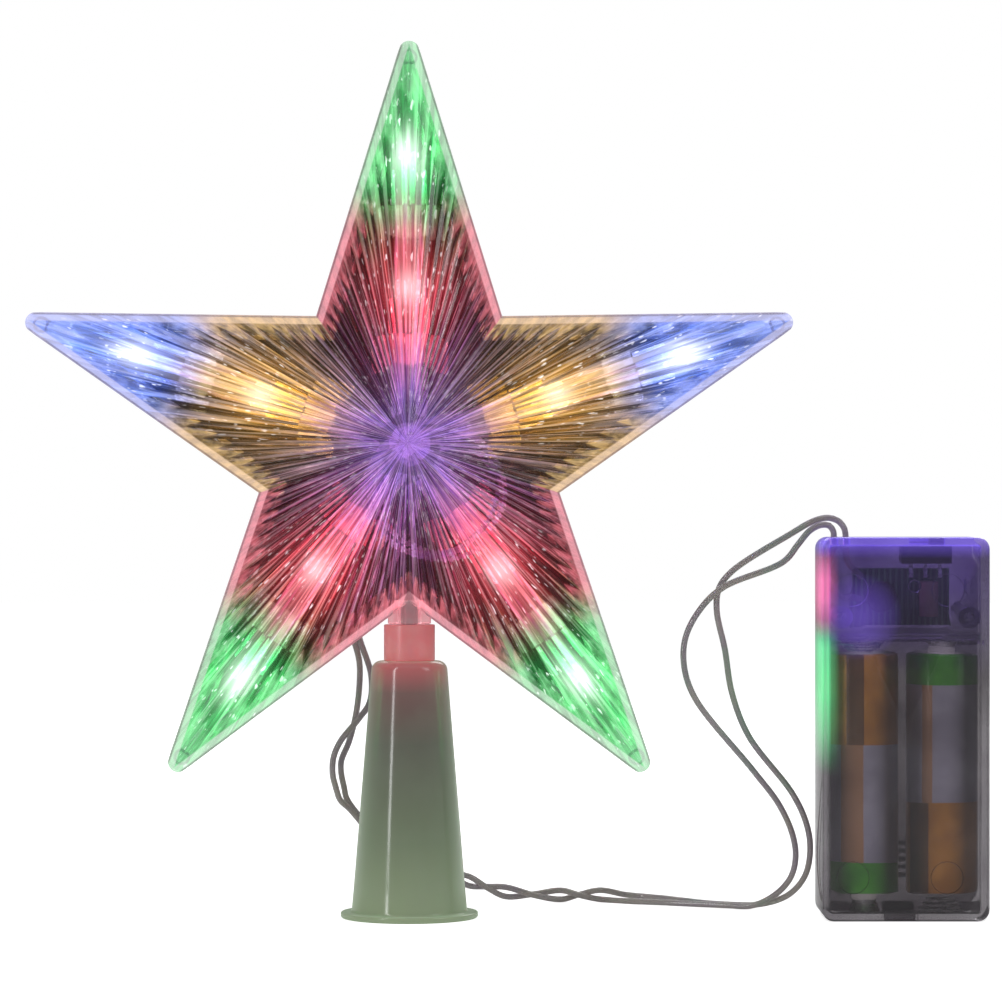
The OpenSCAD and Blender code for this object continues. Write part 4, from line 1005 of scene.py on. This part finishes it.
cell_outline = [(0, -1.2), (2.3, -1.2), (2.6, -0.9), (2.6, 0), (5.6, 0), (5.9, 0.25), (6.5, 0.25),
                (6.9, 0.35), (CELL_R, 0.7), (CELL_R, CELL_LEN - 0.7), (6.9, CELL_LEN - 0.3),
                (6.3, CELL_LEN - 0.1),
                (5.9, CELL_LEN - 0.1), (5.7, CELL_LEN), (0, CELL_LEN)]
for name, node, x, nub_up in (("cell_near", "battery_left", BOX_X - CELL_OUT, False),
                              ("cell_far", "battery_right", BOX_X + CELL_OUT, True)):
    bm = bmesh.new()
    cell = add_lathe(bm, cell_outline, 64, closed=False)
    if nub_up:
        bmesh.ops.rotate(bm, cent=(0, 0, CELL_LEN / 2), matrix=Matrix.Rotation(pi, 3, "X"), verts=cell)
    bmesh.ops.translate(bm, vec=(x, CELL_Y, CELL_LOW), verts=cell)
    finish_piece(name, bm, (cell_wrap("wrap_" + name, x, nub_up),), "base", (node,), 30)

for node in ("bridge_contact", "negative_contact", "positive_contact", "switch_terminals"):
    coat(node, plated)

spring_lines = []
for x, z_wide, z_narrow in ((BOX_X + CELL_OUT, 2.3, 5.2), (BOX_X - CELL_OUT, 56.9, 55.2)):
    line = []
    for i in range(91):
        t = i / 90
        r, a = SPRING_R - SPRING_TAPER * t, tau * SPRING_TURNS * t
        line.append(Vector((x + r * cos(a), CELL_Y + r * sin(a), z_wide + (z_narrow - z_wide) * t)))
    spring_lines.append(line)
tubes_piece("cone_springs", spring_lines, 0.28, "contact_springs", 8, plated, "base")

# ---- circuit, switch and wire tails
# A small fibre board with a blob-topped chip and a few parts, wired to a slide switch that hangs
# under the box's top.  Its black knob stands in a slot there, and the cord's two ends come in.
board = Finish("board_green", Roughness=0.35, Coat_Weight=0.5)
board_tracks = board.add("TexBrick", {"Scale": 420, "Mortar Size": 0.08, "Color1": (0.02, 0.13, 0.05, 1),
                                      "Color2": (0.03, 0.16, 0.06, 1), "Mortar": (0.10, 0.32, 0.12, 1)})
board.set(board_tracks, {"Vector": board.place()})
board.put(Base_Color=board_tracks.outputs["Color"])
board.bump(board_tracks.outputs["Fac"], 0.3, 0.0001)
coat("circuit_board", board)

black = Finish("black_plastic", Roughness=0.4)
black_grain = black.spread(black.noise(1200, 4), 0.3, 0.7)
black.put(Base_Color=black.mix(black_grain, (0.012, 0.012, 0.014), (0.04, 0.04, 0.045)),
          Roughness=black.spread(black_grain, 0, 1, 0.32, 0.5))
black.bump(black_grain, 0.15, 0.0001)
for node in ("controller_chip", "switch_body", "switch_slider"):
    coat(node, black)

tan = Finish("part_tan", Roughness=0.35, Coat_Weight=0.3)
tan_bands = tan.add("TexWave", {"Scale": 260, "Distortion": 0.5}, bands_direction="X").outputs["Fac"]
tan.put(Base_Color=tan.mix(tan.spread(tan_bands, 0.75, 0.85), (0.55, 0.42, 0.26), (0.25, 0.07, 0.04)))
tan.bump(tan.noise(900, 2), 0.1, 0.0001)
coat("board_components", tan)

tail_lines = [smooth_line([ROUTE_A[0], (90.5, 0, 75.8), (91.1, 0.4, 72.8), (94, 0.8, 69.8)], 0.6),
              smooth_line([ROUTE_B[0], (88, -0.6, 75.8), (87.4, -0.4, 70.8), (90, 0.2, 66.8),
                           (94, 0.4, 65.3)], 0.6)]
tubes_piece("wire_tails", tail_lines, WIRE / 2, "cord_tails", 12, vinyl, "base")
